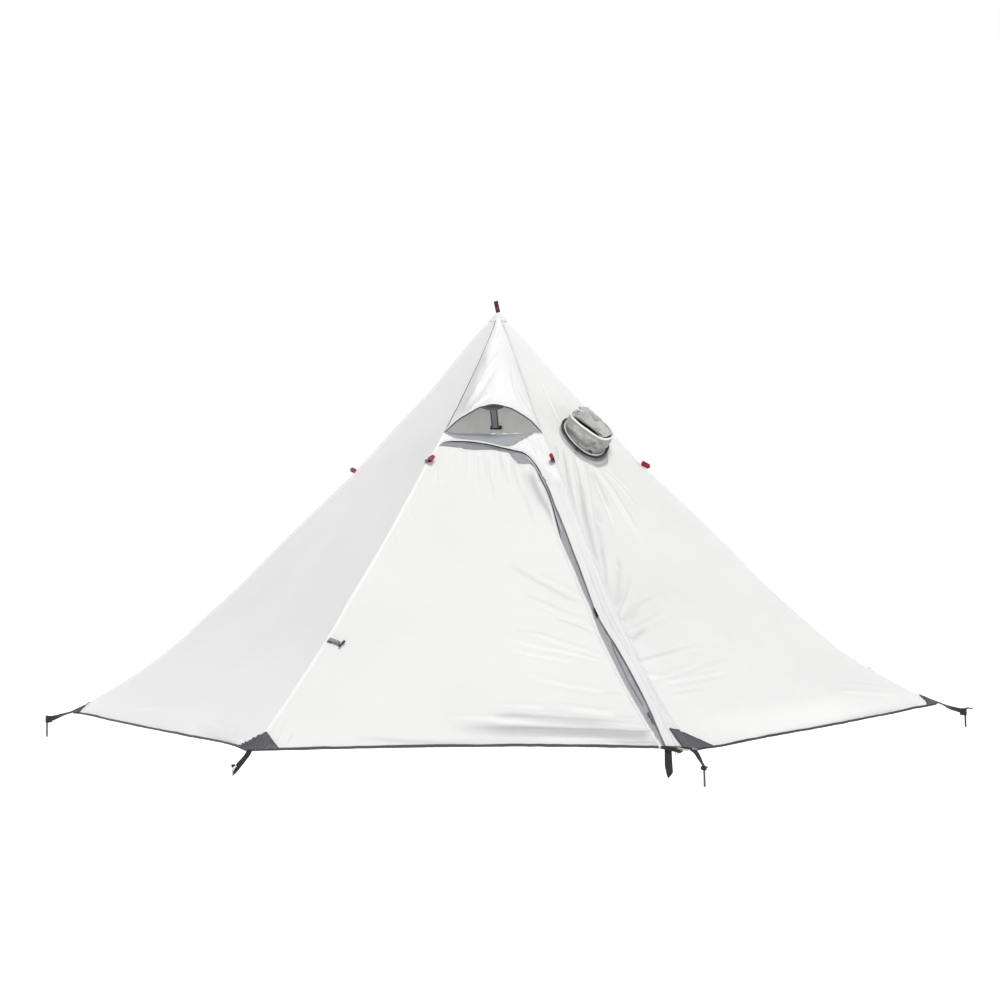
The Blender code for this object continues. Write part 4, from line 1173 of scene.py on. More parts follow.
def declare_cut(obj, w, ln, held, with_pieces=()):
    """Round the size of a piece of cloth's flat cut; nothing is declared or stored."""
    w, ln = round(float(w), 4), round(float(ln), 4)


def across_ridge(j, t, o, extra):
    """Points o metres to the right of ridge j, on the face left of it or right of it."""
    t, o, extra = np.broadcast_arrays(np.asarray(t, float), np.asarray(o, float), np.asarray(extra, float))
    left = cloth(j % 8, t, half_width(t) + np.minimum(o, 0), extra)
    right = cloth((j + 1) % 8, t, -half_width(t) + np.maximum(o, 0), extra)
    mid = ridge(j, t, extra)
    f = np.exp(-(np.abs(o) / 0.0016) ** 2)[..., None]
    side = np.where((o < 0)[..., None], left, right)
    return side * (1 - f) + mid * f


# =====================================================================
#  Front: door, zip, yoke, storm flap
# =====================================================================
DOOR_TOP_PX = [(437.4, 446.6), (444, 446.9), (452, 447.7), (459, 447.5), (464, 449.4), (474, 450.3), (484, 450.0),
               (494, 450.2), (500.5, 451.7), (508.9, 453.2), (512.7, 457.8), (517.5, 462.6), (524, 464.6),
               (530, 464.4), (535, 469.2), (540.4, 479.5)]
DOOR_SIDE_PX = [(540.4, 479.5), (546.6, 492), (551.9, 507), (555.4, 521), (559.7, 536), (566.5, 553), (573.2, 567.5),
                (582.3, 590), (590.0, 606.8), (593.1, 616), (598.7, 631), (605.9, 646), (613.9, 663), (621.3, 678),
                (631.9, 697), (642.6, 715.5), (651.9, 731), (662.3, 746.5)]
YOKE_TOP_PX = [(437.8, 445.3), (440, 443.2), (444, 441.6), (455, 441.2), (465.6, 441.3), (475, 442.2), (485, 443.6),
               (494, 445.4), (502.4, 447.6), (512, 449.6), (522, 451.9), (528, 455.6), (533, 460.5), (537, 466.0),
               (541.3, 473.2), (544.5, 479.5)]
FLAP_PX = [(544.5, 480), (550.6, 493.5), (556.1, 507.6), (561.4, 520), (566.5, 533), (575.2, 556.5), (579.4, 567),
           (587.7, 590), (593.0, 604), (596.9, 614), (605.8, 630.5), (613.7, 642.6), (620.2, 653.5), (627.1, 664.5),
           (632.8, 675), (644.5, 697), (652.0, 713), (658.4, 730), (665.4, 746)]
N1, N2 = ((60, 170))
door_top = px_line(0, DOOR_TOP_PX, N1 * 2)
door_side = px_line(0, DOOR_SIDE_PX, N2)
yoke_top = px_line(0, YOKE_TOP_PX, N1 * 2)
flap_free = px_line(0, FLAP_PX, N2)
door_side[-1, 1] = arc(hem_row(0, door_side[-1, 0] / half_width(1.0)))
y_hem = arc(1.0)
flap_free = flap_free[flap_free[:, 1] < y_hem - 0.002]
flap_free = resample(np.vstack([flap_free, [flap_free[-1, 0] + 0.001, y_hem - 0.0005]]), N2)

hinge_a = np.array([-0.1334, -0.48743, 1.03889])
hinge_b = np.array([-0.54429, -1.47918, 0.09127])
_ax = unit(hinge_b - hinge_a)
_in = np.cross(_ax, normal_at(0, 0.72))
_in = unit(_in if _in[0] > 0 else -_in)
_mid = (hinge_a + hinge_b) / 2
DOOR_BEND = ("tent_body", "door", tuple(_mid - _in * 0.042), tuple(_mid + _in * 0.050))

# the door: a patch between the left ridge, the top of the zip, the zip and the hem
rows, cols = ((250, 210))
u = np.linspace(0, 1, cols)
v = np.linspace(0, 1, rows)
top_edge = resample(door_top, cols)
side_edge = resample(door_side, rows)
side_edge[0] = top_edge[-1]
t_a = float(row_of(top_edge[0, 1]))
y_a = arc(t_a)
left_y = y_a + (y_hem - y_a) * v
left_edge = np.stack([-half_width(row_of(left_y)), left_y], 1)
top_edge[0] = left_edge[0]
bot_s = -half_width(1.0) + (side_edge[-1, 0] + half_width(1.0)) * u
bottom = np.stack([bot_s, arc(hem_row(0, bot_s / half_width(1.0)))], 1)
bottom[0], bottom[-1] = left_edge[-1], side_edge[-1]
U, V = u[None, :, None], v[:, None, None]
# the wavy top edge only shapes the first centimetres
calm_top = np.stack([np.interp(u, u, np.convolve(np.pad(top_edge[:, i], 12, "edge"), np.ones(25) / 25, "valid"))
                     for i in (0, 1)], 1)
calm_top[0], calm_top[-1] = top_edge[0], top_edge[-1]
soft = np.exp(-(V * 1.35) / 0.05)
top_mix = top_edge[None] * soft + calm_top[None] * (1 - soft)
q = ((1 - V) * top_mix + V * bottom[None] + (1 - U) * left_edge[:, None] + U * side_edge[:, None]
     - ((1 - U) * (1 - V) * top_edge[0] + U * (1 - V) * top_edge[-1] + (1 - U) * V * bottom[0] + U * V * bottom[-1]))
s, y = q[..., 0], q[..., 1]
t = row_of(y)
d_top = np.abs(along_line(s, y, top_edge[::3])[0])
d_side = np.abs(along_line(s, y, side_edge[::3])[0])
near_top, along_top = np.exp(-d_top / 0.014), s
extra = 0.0010 + 0.0022 * np.exp(-(d_top / 0.010) ** 2) + 0.0018 * np.exp(-(d_side / 0.010) ** 2)
extra = extra + near_top * 0.0016 * noise(along_top / 0.021, s * 0 + 2.0, 77)
extra = extra + 0.0012 * np.exp(-d_side / 0.02) * noise(y / 0.05, s * 0 + 4.0, 78)
extra = extra * smooth(s + half_width(t), 0.0, 0.02)
door = sheet_grid("cloth_door", cloth(0, t, s, extra), M_CLOTH, np.stack([s, y], -1), shade=shade_at(0, s, y))
finish_piece(door, None, ["door_panel", "front_hinge_strip"], bend=DOOR_BEND)


def door_edge_line(n):
    return resample(np.vstack([door_top[2:], door_side[1:]]), n)


# the door's turned edge beside the zip
edge = door_edge_line(330)
edge_s, edge_y = edge[:, 0], edge[:, 1]
edge_up = np.exp(-((np.abs(along_line(edge_s, edge_y, door_side)[0])) / 0.02) ** 2)
wav = (0.0016 * noise(edge_s / 0.021, edge_s * 0 + 2.0, 77) * (1 - edge_up))[:, None] * np.array([1, 1, .8, .6, .45, .3])
fade_in = smooth(np.arange(len(edge)), 0, 12)[:, None]
band = ribbon("door_turned_edge", 0, edge, [0.0005, -0.0008, -0.0030, -0.0055, -0.0080, -0.0096],
              [0.0010, 0.0040, 0.0042, 0.0037, 0.0031, 0.0022], M_SEAM, middle=-0.0052, wave=wav * fade_in, flip=True)
finish_piece(band, None, bend=DOOR_BEND)

# zip: fixed tape under both edges, and its coil
inner = np.vstack([shift(door_top, -0.006)[1:-1], shift(door_side, -0.006)[2:]])
outer = np.vstack([shift(yoke_top, 0.007)[1:-1], shift(flap_free, 0.008)[2:]])
n_band = 360
inner, outer = resample(inner, n_band), resample(outer, n_band)
W = np.linspace(0, 1, 9)
q = inner[:, None, :] * (1 - W)[None, :, None] + outer[:, None, :] * W[None, :, None]
s, t = q[..., 0], row_of(q[..., 1])
ln = np.concatenate([[0], np.cumsum(np.linalg.norm(np.diff(inner, axis=0), axis=1))])
dip = -0.0006 * np.sin(pi * W)[None, :] + 0.0006 * noise(ln[:, None] / 0.03, W[None, :] * 2, 83)
uv = np.stack(np.broadcast_arrays((W * 0.03)[None, :], ln[:, None]), -1)
tape_p = cloth(0, t, s, 0.0004 + dip)
cut_at = int(np.argmax(inner[:, 1] > door_top[-1, 1]))
# painted shade: the top run of the tape takes a darker copy of its colour than the side run
for name, part, mat in (("zip_tape_top_shaded", slice(0, cut_at + 1), M_ZIPTOP_SHADE), ("zip_tape_side", slice(cut_at, None), M_ZIPTAPE)):
    tape_obj = sheet_grid(name, tape_p[part], mat, uv[part])
    finish_piece(tape_obj, "tent_body", ["door_zip"])
    declare_cut(tape_obj, np.linalg.norm((outer - inner)[part], axis=1).max(), ln[part][-1] - ln[part][0], "stretched")

low_y = arc(face_at(0, [(560, 536)])[0][0])
off_top = -0.0030 + 0.0070 * smooth(np.linspace(0, 1, len(door_top)), 0.84, 0.95)
off_side = 0.0040 - 0.0072 * smooth(door_side[:, 1], low_y - 0.05, low_y + 0.06)
coil_line = resample(np.vstack([shift(door_top, off_top)[4:-1], shift(door_side, off_side)[2:]]), n_band)
mid_lift = 0.0016
cp = cloth(0, row_of(coil_line[:, 1]), coil_line[:, 0], mid_lift)
coil = tube("zip_coil_line", cp, 0.0016, M_COIL, sides=8)
finish_piece(coil, "tent_body")
# painted light and shade on the zip: the tape's edge in the flap's shadow, a pale copy of the tape along the coil's
# crown as painted highlight, and the shaded end under the sill
shadow = resample(np.vstack([yoke_top[-14:-1], flap_free[1:]]), n_band)
o = ribbon("zip_shadow_edge", 0, shadow, [0.0004, -0.0006, -0.0024, -0.0040], [0.0016, 0.0022, 0.0020, 0.0010], M_SHADOWTAPE,
           flip=True)
finish_piece(o, "tent_body")
o = ribbon("zip_centre", 0, px_line(0, [(530.5, 460.5), (536.5, 468.5), (542.6, 480), (548.6, 494), (553.3, 507),
                                        (557.6, 519), (561.8, 531)], 60),
           [0.0026, 0.0018, 0.0, -0.0018, -0.0026], [0.0012, 0.0018, 0.0019, 0.0018, 0.0012], M_ZIP_HIGHLIGHT, flip=True)
finish_piece(o, "tent_body")
o = ribbon("zip_end_shade", 0, px_line(0, [(464, 443), (470, 443.4), (478, 444.6), (486, 445.9), (494, 447.4), (500, 448.6)],
                                       40),
           [0.0030, 0.0024, 0.0, -0.0024, -0.0030], [0.0008, 0.0016, 0.0018, 0.0016, 0.0008], M_SHADOWTAPE, flip=True)
finish_piece(o, "tent_body")
# a dark line on the lower zip in the same painted-shadow tape colour
o = ribbon("zip_inner_line", 0, px_line(0, [(611.2, 641.7), (615.3, 653), (621.4, 666.2), (627.6, 679.5), (634.7, 691.7),
                                            (642.9, 706)], 60),
           [0.0018, 0.0012, 0.0, -0.0012, -0.0018], [0.0006, 0.0012, 0.0014, 0.0012, 0.0006], M_SHADOWTAPE, flip=True)
finish_piece(o, "tent_body")
pt_hi = px_line(0, [(511, 453.2), (517, 452.9), (523, 455.2), (528, 459.4), (530.5, 463)], 30)
pt_lo = px_line(0, [(511, 453.8), (513.2, 457.8), (517.3, 462.2), (521.5, 464.6), (530, 464.4)], 30)
f = np.linspace(0, 1, 9)
q = pt_hi[:, None, :] * (1 - f)[None, :, None] + pt_lo[:, None, :] * f[None, :, None]
o = sheet_grid("zip_turn_patch", cloth(0, row_of(q[..., 1]), q[..., 0], 0.0024 + 0.0006 * np.sin(pi * f)[None, :]), M_ZIPPALE,
               q)
finish_piece(o, "tent_body")

# yoke: from the sill and the right ridge down to the zip
sill_row = SILL_T
n_top, n_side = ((N1 * 2, N2))
low = np.vstack([resample(yoke_top, n_top), resample(shift(flap_free, 0.0045), n_side)[1:]])
low = np.vstack([low[:n_top - 6], resample(low[n_top - 7:n_top + 7], 13)[1:-1], low[n_top + 6:]])
sill_l, sill_r = -half_width(sill_row), half_width(sill_row)
up_sill = np.stack([np.linspace(sill_l, sill_r, n_top), np.full(n_top, arc(sill_row))], 1)
ry = np.linspace(arc(sill_row), y_hem, n_side)
up_ridge = np.stack([half_width(row_of(ry)), ry], 1)
high = np.vstack([up_sill, up_ridge[1:]])
m = min(len(low), len(high))
low, high = resample(low, m), None
share = np.linspace(0, 1, m)
cut = n_top / (n_top + n_side)
high = np.vstack([resample(up_sill, int(m * cut)), resample(up_ridge, m - int(m * cut) + 1)[1:]])
low = np.vstack([resample(low[:int(m * cut)], int(m * cut)), low[int(m * cut):]])
start = np.array([-half_width(row_of(low[0, 1])), low[0, 1]])
low[0] = start
C = np.linspace(0, 1, 60)
q = low[:, None, :] * (1 - C)[None, :, None] + high[:, None, :] * C[None, :, None]
s, t = q[..., 0], row_of(q[..., 1])
wid = np.linalg.norm(high - low, axis=1)
d_low = C[None, :] * wid[:, None]
on_top = 1 - smooth(np.arange(m), int(m * cut) * 0.80, int(m * cut) * 1.1)[:, None]
on_top = on_top * smooth(np.arange(m), 0, 10)[:, None]
extra = on_top * (0.0052 * np.exp(-(d_low / 0.013) ** 2) + 0.0016 * np.exp(-d_low / 0.012) * noise(s / 0.03, s * 0 + 1, 91))
yoke_p = cloth(0, t, s, extra + 0.0004)
yoke_uv = np.stack([s, q[..., 1]], -1)
yoke_shade = shade_at(0, s, q[..., 1])
split = int(m * cut)
for name, rows_used, cut_size in (("cloth_yoke", slice(0, split + 1), (0.44, 0.17)),
                                  ("cloth_yoke_side", slice(split, m), (0.10, 1.28))):
    yoke = sheet_grid(name, yoke_p[rows_used], M_FLAP, yoke_uv[rows_used], shade=yoke_shade[rows_used])
    finish_piece(yoke, "tent_body", ["front_yoke"])
    declare_cut(yoke, *cut_size, "stretched")

# a stitched edge along the yoke over the top of the zip, and under it a strip of dark tape, painted shadow of that fold
lip = resample(yoke_top[5:], 150)
fade = (smooth(np.arange(150), 0, 12) * (1 - smooth(np.arange(150), 132, 149)))[:, None]
lipband = ribbon("yoke_turned_edge", 0, lip, [0.0098, 0.0080, 0.0050, 0.0022, 0.0002, -0.0012, -0.0004],
                 np.zeros(7), M_SEAM, middle=0.005,
                 wave=np.array([.0030, .0048, .0056, .0062, .0062, .0050, .0024])[None, :] * (0.25 + 0.75 * fade))
finish_piece(lipband, "tent_body")
shade = ribbon("zip_hood_painted_shadow", 0, lip, [0.0006, -0.0010, -0.0028, -0.0040],
               np.zeros(4), M_BIND_DARK, middle=-0.001,
               wave=np.array([.0040, .0044, .0030, .0010])[None, :] * (0.25 + 0.75 * fade), flip=True)
finish_piece(shade, "tent_body")

# storm flap
flap_rows = flap_free[(flap_free[:, 1] > arc(0.484)) & (flap_free[:, 1] < arc(0.9985))]
free = resample(flap_rows, 200)
root_t = row_of(np.linspace(arc(0.478), arc(0.9970), len(free)))
root = np.stack([half_width(root_t) - 0.0052, arc(root_t)], 1)
F = np.linspace(0, 1, 60)
q = free[:, None, :] * (1 - F)[None, :, None] + root[:, None, :] * F[None, :, None]
s, t = q[..., 0], row_of(q[..., 1])
wid = np.linalg.norm(root - free, axis=1)[:, None]
d_free = F[None, :] * wid
y = q[..., 1]
tab_y = arc(face_at(0, [(595, 612)])[0][0])
press = np.exp(-((y - tab_y) / 0.05) ** 2) * np.exp(-d_free / 0.02)
extra = 0.0030 + 0.0030 * (1 - F[None, :]) ** 0.7
extra = extra + (0.0022 * noise(y / 0.10, s * 0 + 1, 95) + 0.0010 * noise(y / 0.035, d_free / 0.03, 96)) * np.exp(-d_free / 0.02)
extra = extra - 0.0018 * press - 0.0024 * smooth(F, 0.7, 1.0)[None, :]
extra = extra + 0.0012 * noise(s / 0.012, y / 0.11, 97)
extra = extra - 0.0026 * (1 - smooth(y, free[0, 1], free[0, 1] + 0.02))
flap_a = np.array([0.26426, -0.65178, 0.85703])
flap_b = np.array([0.59518, -1.45031, 0.11532])
_fa = unit(flap_b - flap_a)
_fi = np.cross(_fa, normal_at(0, 0.75))
_fi = unit(_fi if _fi[0] < 0 else -_fi)
_fm = (flap_a + flap_b) / 2
FLAP_BEND = ("tent_body", "storm_flap", tuple(_fm + _fi * 0.010), tuple(_fm + _fi * 0.032))
line_in = lambda at, w: np.exp(-((d_free - at) / w) ** 2)
flap_shade = (.30 * line_in(.0262, .0022) - .30 * line_in(.0315, .0030) + .30 * line_in(.0445, .0022)
              - .30 * line_in(.0495, .0030)) * smooth(wid, .052, .060)
flap = sheet_grid("cloth_storm_flap", cloth(0, t, s, extra), M_FLAP, np.stack([s, y], -1), shade=flap_shade)
finish_piece(flap, None, ["storm_flap"], bend=FLAP_BEND)
declare_cut(flap, wid.max(), free[-1, 1] - free[0, 1], "hung")


def flap_strip(name, at0, at1, lift, mat):
    """Strip on the storm flap, between two distances from its free edge."""
    f = np.linspace(0, 1, 6)
    dist = at0 + (at1 - at0) * f
    frac = dist[None, :] / wid
    qq = free[:, None, :] * (1 - frac)[..., None] + root[:, None, :] * frac[..., None]
    ss, yy = qq[..., 0], qq[..., 1]
    ex = np.zeros(ss.shape)
    for i in range(len(free)):
        ex[i] = np.interp(frac[i], F, extra[i])
    bulge = np.array([0.15, 0.9, 1.0, 1.0, 0.9, 0.15]) * lift
    pts = cloth(0, row_of(yy), ss, ex + bulge[None, :])
    uv = np.stack(np.broadcast_arrays((dist - (at0 + at1) / 2)[None, :], yy), -1)
    o = sheet_grid(name, pts, mat, uv)
    return finish_piece(o, None, bend=FLAP_BEND)


flap_strip("storm_flap_hem", -0.0003, 0.0094, 0.0011, M_SEAM)
flap_strip("storm_flap_seam", 0.0270, 0.0350, 0.0009, M_SEAM)

# hook-and-loop tab on the flap's edge
tab_l = px_line(0, [(592.9, 608.7), (594.0, 611.7), (595.2, 614.9), (596.3, 618.2)], 20)
tab_r = px_line(0, [(594.6, 608.8), (596.1, 611.7), (597.6, 614.8), (598.9, 617.6)], 20)
f = np.linspace(0, 1, 5)
q = tab_l[:, None, :] * (1 - f)[None, :, None] + tab_r[:, None, :] * f[None, :, None]
tab = sheet_grid("flap_tab", cloth(0, row_of(q[..., 1]), q[..., 0], np.array([.0056, .0074, .0076, .0074, .0056])[None, :]
                                   + 0 * q[..., 0]), M_VELCRO, q)
finish_piece(tab, None, bend=FLAP_BEND)


# =====================================================================
#  Vent: hood, its bound brim, net, kick-stand
# =====================================================================
def to_frame(p):
    """Frame pixels of points."""
    q = np.asarray(p, float) - _eye
    d = q @ _fw
    return 500 + CAM_F * (q @ CAM_RIGHT) / d, 500 - CAM_F * (q @ CAM_UP) / d


def at_depth(px, py, like):
    """The point seen at a frame pixel, as far from the camera as the point like."""
    depth = (np.asarray(like) - _eye) @ _fw
    return _eye + (_fw + CAM_RIGHT * ((px - 500) / CAM_F) + CAM_UP * ((500 - py) / CAM_F)) * depth


BRIM = np.array([0.010, -0.088, 0.088])
HOOD_T = SILL_T - 0.004


def hood_base(v, w):
    v, w = np.broadcast_arrays(np.asarray(v, float), np.asarray(w, float))
    t = T_TOP - 0.003 + (HOOD_T - T_TOP + 0.003) * w + 0.0075 * np.clip((v - 0.85) / 0.15, 0, 1) ** 1.5 * w ** 3
    a = np.clip(2 * v - 1, -1, 1)
    p = on_face(0, t, half_width(t) * a, 0.0)
    p = p + BRIM * ((1 - np.abs(a) ** 1.75) * w ** 1.6)[..., None]
    return p + normal_at(0, t) * (0.030 * np.sin(pi * w) * np.sin(pi * np.clip(v, 0, 1)))[..., None]


def hood_normal(v, w):
    e = 2e-3
    dv = hood_base(np.clip(v + e, 0, 1), w) - hood_base(np.clip(v - e, 0, 1), w)
    dw = hood_base(v, np.clip(w + e, 0.001, 1)) - hood_base(v, np.clip(w - e, 0.001, 1))
    return unit(np.cross(dw, dv))


def hood_lift(v, w):
    v, w = np.broadcast_arrays(np.asarray(v, float), np.asarray(w, float))
    px, py = to_frame(hood_base(v, w))
    total = np.zeros(v.shape)
    for pts, amp, width, kind in HOOD_FOLDS:
        d, f = along_line(px, py, smooth_line(pts, 10))
        a = np.abs(d) / (width / 4.0)
        shape = 1.9 * (d / (width / 4.0)) * np.exp(-a * a * 0.9) if kind == "s" else np.exp(-a * a)
        total += 1.5 * amp / 1000 * shape * smooth(f, 0, 0.25) * (1 - smooth(f, 0.7, 1))
    total += 0.0014 * noise(px / 9.0, py / 26.0, 203) + 0.0005 * noise(px / 3.1, py / 11.0, 204)
    pin = np.clip(np.minimum(v, 1 - v) / 0.09, 0, 1) ** 0.8
    return total * pin * smooth(w, 0.02, 0.12)


def hood(v, w, extra=0.0):
    v, w = np.broadcast_arrays(np.asarray(v, float), np.asarray(w, float))
    return hood_base(v, w) + hood_normal(v, w) * (hood_lift(v, w) + extra)[..., None]


def on_hood(obj, replaces=()):
    finish_piece(obj, "tent_body", replaces)
    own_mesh(obj)
    return obj


hv, hw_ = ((150, 190))
V, W = np.linspace(0, 1, hv)[None, :], np.linspace(0, 1, hw_)[:, None] ** 0.85
Vb, Wb = np.broadcast_arrays(V, W)
Tb = T_TOP + (HOOD_T - T_TOP) * Wb
# painted shade: its left half is painted darker in a band beside the ridge
hx, hy = to_frame(hood_base(Vb, Wb))
hd, hf = along_line(hx, hy, smooth_line([(490, 334), (482, 358), (473, 384), (464, 408), (458, 424)], 12))
hood_left_shade = (0.46 * np.exp(-(hd / (3.0 + 9.0 * hf)) ** 2) * smooth(hf, 0.02, 0.35) * (1 - 0.6 * smooth(hf, 0.8, 1))
          * np.clip(0.80 + 0.35 * noise(hx / 6.0, hy / 15.0, 231), 0.3, 1.2))
hood_obj = sheet_grid("cloth_vent_hood", hood(Vb, Wb), M_HOOD_LIT,
                      np.stack([half_width(Tb) * (2 * Vb - 1), arc(Tb)], -1), shade=hood_left_shade)
on_hood(hood_obj, ["vent_hood", "vent_brim"])
declare_cut(hood_obj, 0.42, 0.70, "stretched")

# the brim's doubled hem, stitched, and the tape bound round it
n_b = 160
v = np.linspace(0.012, 0.988, n_b)[None, :]
rows_w = np.array([0.962, 0.963, 0.975, 0.988, 0.9985])[:, None]
lift_w = np.array([0.0001, 0.0016, 0.0022, 0.0020, 0.0014])[:, None]
Vb, Wb = np.broadcast_arrays(v, rows_w)
run = np.concatenate([[0], np.cumsum(np.linalg.norm(np.diff(hood_base(v[0], np.ones(n_b)), axis=0), axis=1))])
uv = np.stack(np.broadcast_arrays((Wb - 0.9805) * 0.66, run[None, :]), -1)
band = sheet_grid("hood_brim_hem", hood(Vb, Wb, np.broadcast_to(lift_w, Vb.shape) + 0 * Vb), M_BRIM_LIT, uv)
on_hood(band)

v = np.linspace(0.0, 1.0, n_b)
edge = hood(v, np.full(n_b, 1.0))
back = unit(hood(v, np.full(n_b, 0.992)) - edge)
nrm = hood_normal(v, np.full(n_b, 0.999))
sect = [(0.0058, 0.0022), (0.0050, 0.0030), (0.0, 0.0032), (-0.0026, 0.0016), (-0.0028, -0.0010), (0.0, -0.0026),
        (0.0062, -0.0024), (0.0070, -0.0014)]
taper = (smooth(np.minimum(v, 1 - v), 0, 0.035) * 0.75 + 0.25) * 0.75
rows = [edge + back * (a * taper)[:, None] + nrm * (b * taper)[:, None] for a, b in sect]
p = np.stack(rows, 1)
uv = np.stack(np.broadcast_arrays(np.linspace(-0.008, 0.008, len(sect))[None, :], run[:, None]), -1)
brim = sheet_grid("hood_brim_binding", p, M_BIND, uv, flip=True)
on_hood(brim)

# thin piping down both edges of the hood
for j, r, mat, name in ((7, 0.0013, M_BIND, "hood_piping_left"), (0, 0.0008, M_LIGHTPIPING, "hood_piping_right")):
    tt = np.linspace(0.022, 0.353, 70)
    side = 1 if j == 7 else -1
    pts = ridge(j, tt, 0.0024) + axes(0)[1] * side * 0.002
    o = tube(name, pts, r * (0.7 + 0.6 * smooth(tt, 0.02, 0.30)), mat, sides=7)
    finish_piece(o, "tent_body")

# net behind the hood
tn_ = np.linspace(0.150, 0.3555, 60)[:, None]
un = np.linspace(-1, 1, 90)[None, :]
tn2, un2 = np.broadcast_arrays(tn_, un)
sn = (half_width(tn2) - 0.0045) * un2
wave = (-0.0045 + 0.0030 * np.sin(sn * 150 + 1.2) * (1 - un2 ** 2) * smooth(tn2, 0.20, 0.30)
        + 0.0012 * noise(sn / 0.016, arc(tn2) / 0.09, 210))
net_obj = sheet_grid("net_vent", on_face(0, tn2, sn, wave), M_NET, np.stack([sn, arc(tn2)], -1))
finish_piece(net_obj, "tent_body", ["vent_mesh"])
declare_cut(net_obj, 0.40, 0.40, "stretched")
# the sill: a strip between the net's foot and the yoke, its blue-grey tone painted shadow of the hood's brim
sill_hi = px_line(0, [(445.3, 432.9), (455, 433.6), (470, 433.5), (485, 433.4), (500, 434.2), (515, 433.6), (530, 432.8),
                      (533, 432.7)], 90)
sill_lo = px_line(0, [(445.3, 435.0), (454.9, 438.3), (465.7, 439.9), (479.8, 441.2), (491.4, 443.7), (503, 446.2),
                      (512.9, 444.5), (517.9, 441.6), (529.5, 435.8), (532.8, 434.6)], 90)
f = np.linspace(0, 1, 12)
q = sill_hi[:, None, :] * (1 - f)[None, :, None] + sill_lo[:, None, :] * f[None, :, None]
sill_up = 0.0014 + 0.0054 * f[None, :] + 0.0008 * noise(q[..., 0] / 0.03, f[None, :] * 2 + 0 * q[..., 0], 215)
sill_obj = sheet_grid("vent_sill_shaded", cloth(0, row_of(q[..., 1]), q[..., 0], sill_up), M_SILL_SHADE, q)
finish_piece(sill_obj, "tent_body")
declare_cut(sill_obj, 0.05, 0.34, "stretched")

# kick-stand: a stiffened webbing tab from the screen's foot to the brim, and its pads
strut_foot = on_face(0, 0.3440, 0.010, 0.0050)
brim_top = hood_base(0.5, 1.0)
strut_top = brim_top + np.array([0, 0.012, -0.0135])
f = np.linspace(0, 1, 26)[:, None]
bow = np.array([0.0, -0.35, 0.94]) * 0.0035
path = strut_foot * (1 - f) + strut_top * f + bow * np.sin(pi * f)
o = webbing("kickstand_tab", path, (1.0, 0.0, 0.03), 0.0275, 0.0026, M_GREYWEB, ripple=0.0004, seed=5)
finish_piece(o, "vent_strut", ["vent_strut"])
for side in (-1, 1):
    off = np.array([side * 0.0108, 0, 0])
    nrm_s = unit(np.cross(unit(strut_top - strut_foot), [1, 0, 0]))
    nrm_s = nrm_s if nrm_s[1] < 0 else -nrm_s
    o = webbing("kickstand_edge_" + ("l" if side < 0 else "r"), path[1:-1] + off + nrm_s * 0.0017, (1, 0, 0.03),
                0.0042, 0.0009, M_BIND_DARK)
    finish_piece(o, "vent_strut")

pad_like = brim_top + np.array([0, 0.006, 0])
pad_hi = smooth_line([at_depth(x, y, pad_like) for x, y in ((480.6, 407.6), (485, 406), (490, 405.2), (497, 405.4),
                                                            (503.8, 406.8))], 24)
pad_lo = smooth_line([at_depth(x, y, pad_like) for x, y in ((481.2, 408.0), (484.5, 409.2), (489.5, 410.2), (497, 410),
                                                            (503.2, 408))], 24)
f = np.linspace(0, 1, 7)
p = pad_hi[:, None, :] * (1 - f)[None, :, None] + pad_lo[:, None, :] * f[None, :, None]
p = p + np.array([0, -0.0012, 0]) * np.sin(pi * f)[None, :, None]
o = sheet_grid("brim_pad", p, M_BIND, np.stack(np.broadcast_arrays(np.linspace(-.045, .045, 24)[:, None], f * .02), -1))
on_hood(o)

c = face_at(0, [(495.0, 427.6)])[0]
cs, cy = c[1], float(arc(c[0]))
s_ = np.linspace(cs - 0.0222, cs + 0.0222, 24)[:, None]
o_ = np.array([0.0088, 0.0084, 0.0045, 0.0, -0.0045, -0.0084, -0.0088])[None, :]
l_ = np.array([-0.003, 0.0018, 0.0026, 0.0028, 0.0026, 0.0018, -0.003])[None, :]
s_, o_, l_ = np.broadcast_arrays(s_, o_, l_)
o = sheet_grid("kickstand_pad", on_face(0, row_of(cy - o_), s_, l_), M_VELCRO, np.stack([s_, o_], -1))
finish_piece(o, "tent_body")


# =====================================================================
#  Ridge seams and hem bindings
# =====================================================================
RIDGE_NAMES = ["front_right", "right_front", "right_rear", "rear_right", "rear_left", "left_rear", "left_front",
               "front_left"]
n_r = 420
PATCH_UP = {7: 0.060, 0: 0.062, 6: 0.052, 1: 0.049}
for j, name in enumerate(RIDGE_NAMES):
    tt = row_of(np.linspace(arc(0.018), arc(1.0) - PATCH_UP.get(j, 0.064) + 0.004, n_r))[:, None]
    offs = np.array([-0.0046, -0.0042, -0.0020, 0.0, 0.0030, 0.0060, 0.0088, 0.0092])[None, :]
    lifts = np.array([0.0000, 0.0014, 0.0019, 0.0021, 0.0017, 0.0015, 0.0013, 0.0000])[None, :]
    if j == 7:
        offs, lifts = offs * 0.92, lifts * 1.25
    T2, O2 = np.broadcast_arrays(tt, offs)
    narrow = np.clip(half_width(T2) / 0.03, 0.15, 1)
    pk = 0.0005 * noise(arc(T2) / 0.013, O2 / 0.02, 300 + j)
    p = across_ridge(j, T2, O2 * narrow, lifts * narrow + pk * np.sin(pi * np.linspace(0, 1, 8))[None, :])
    uv = np.stack([O2 - 0.0023, arc(T2)], -1)
    o = sheet_grid("ridge_seam_" + name, p, M_SEAM_HIGHLIT if j == 7 else M_SEAM, uv)
    finish_piece(o, "tent_body")


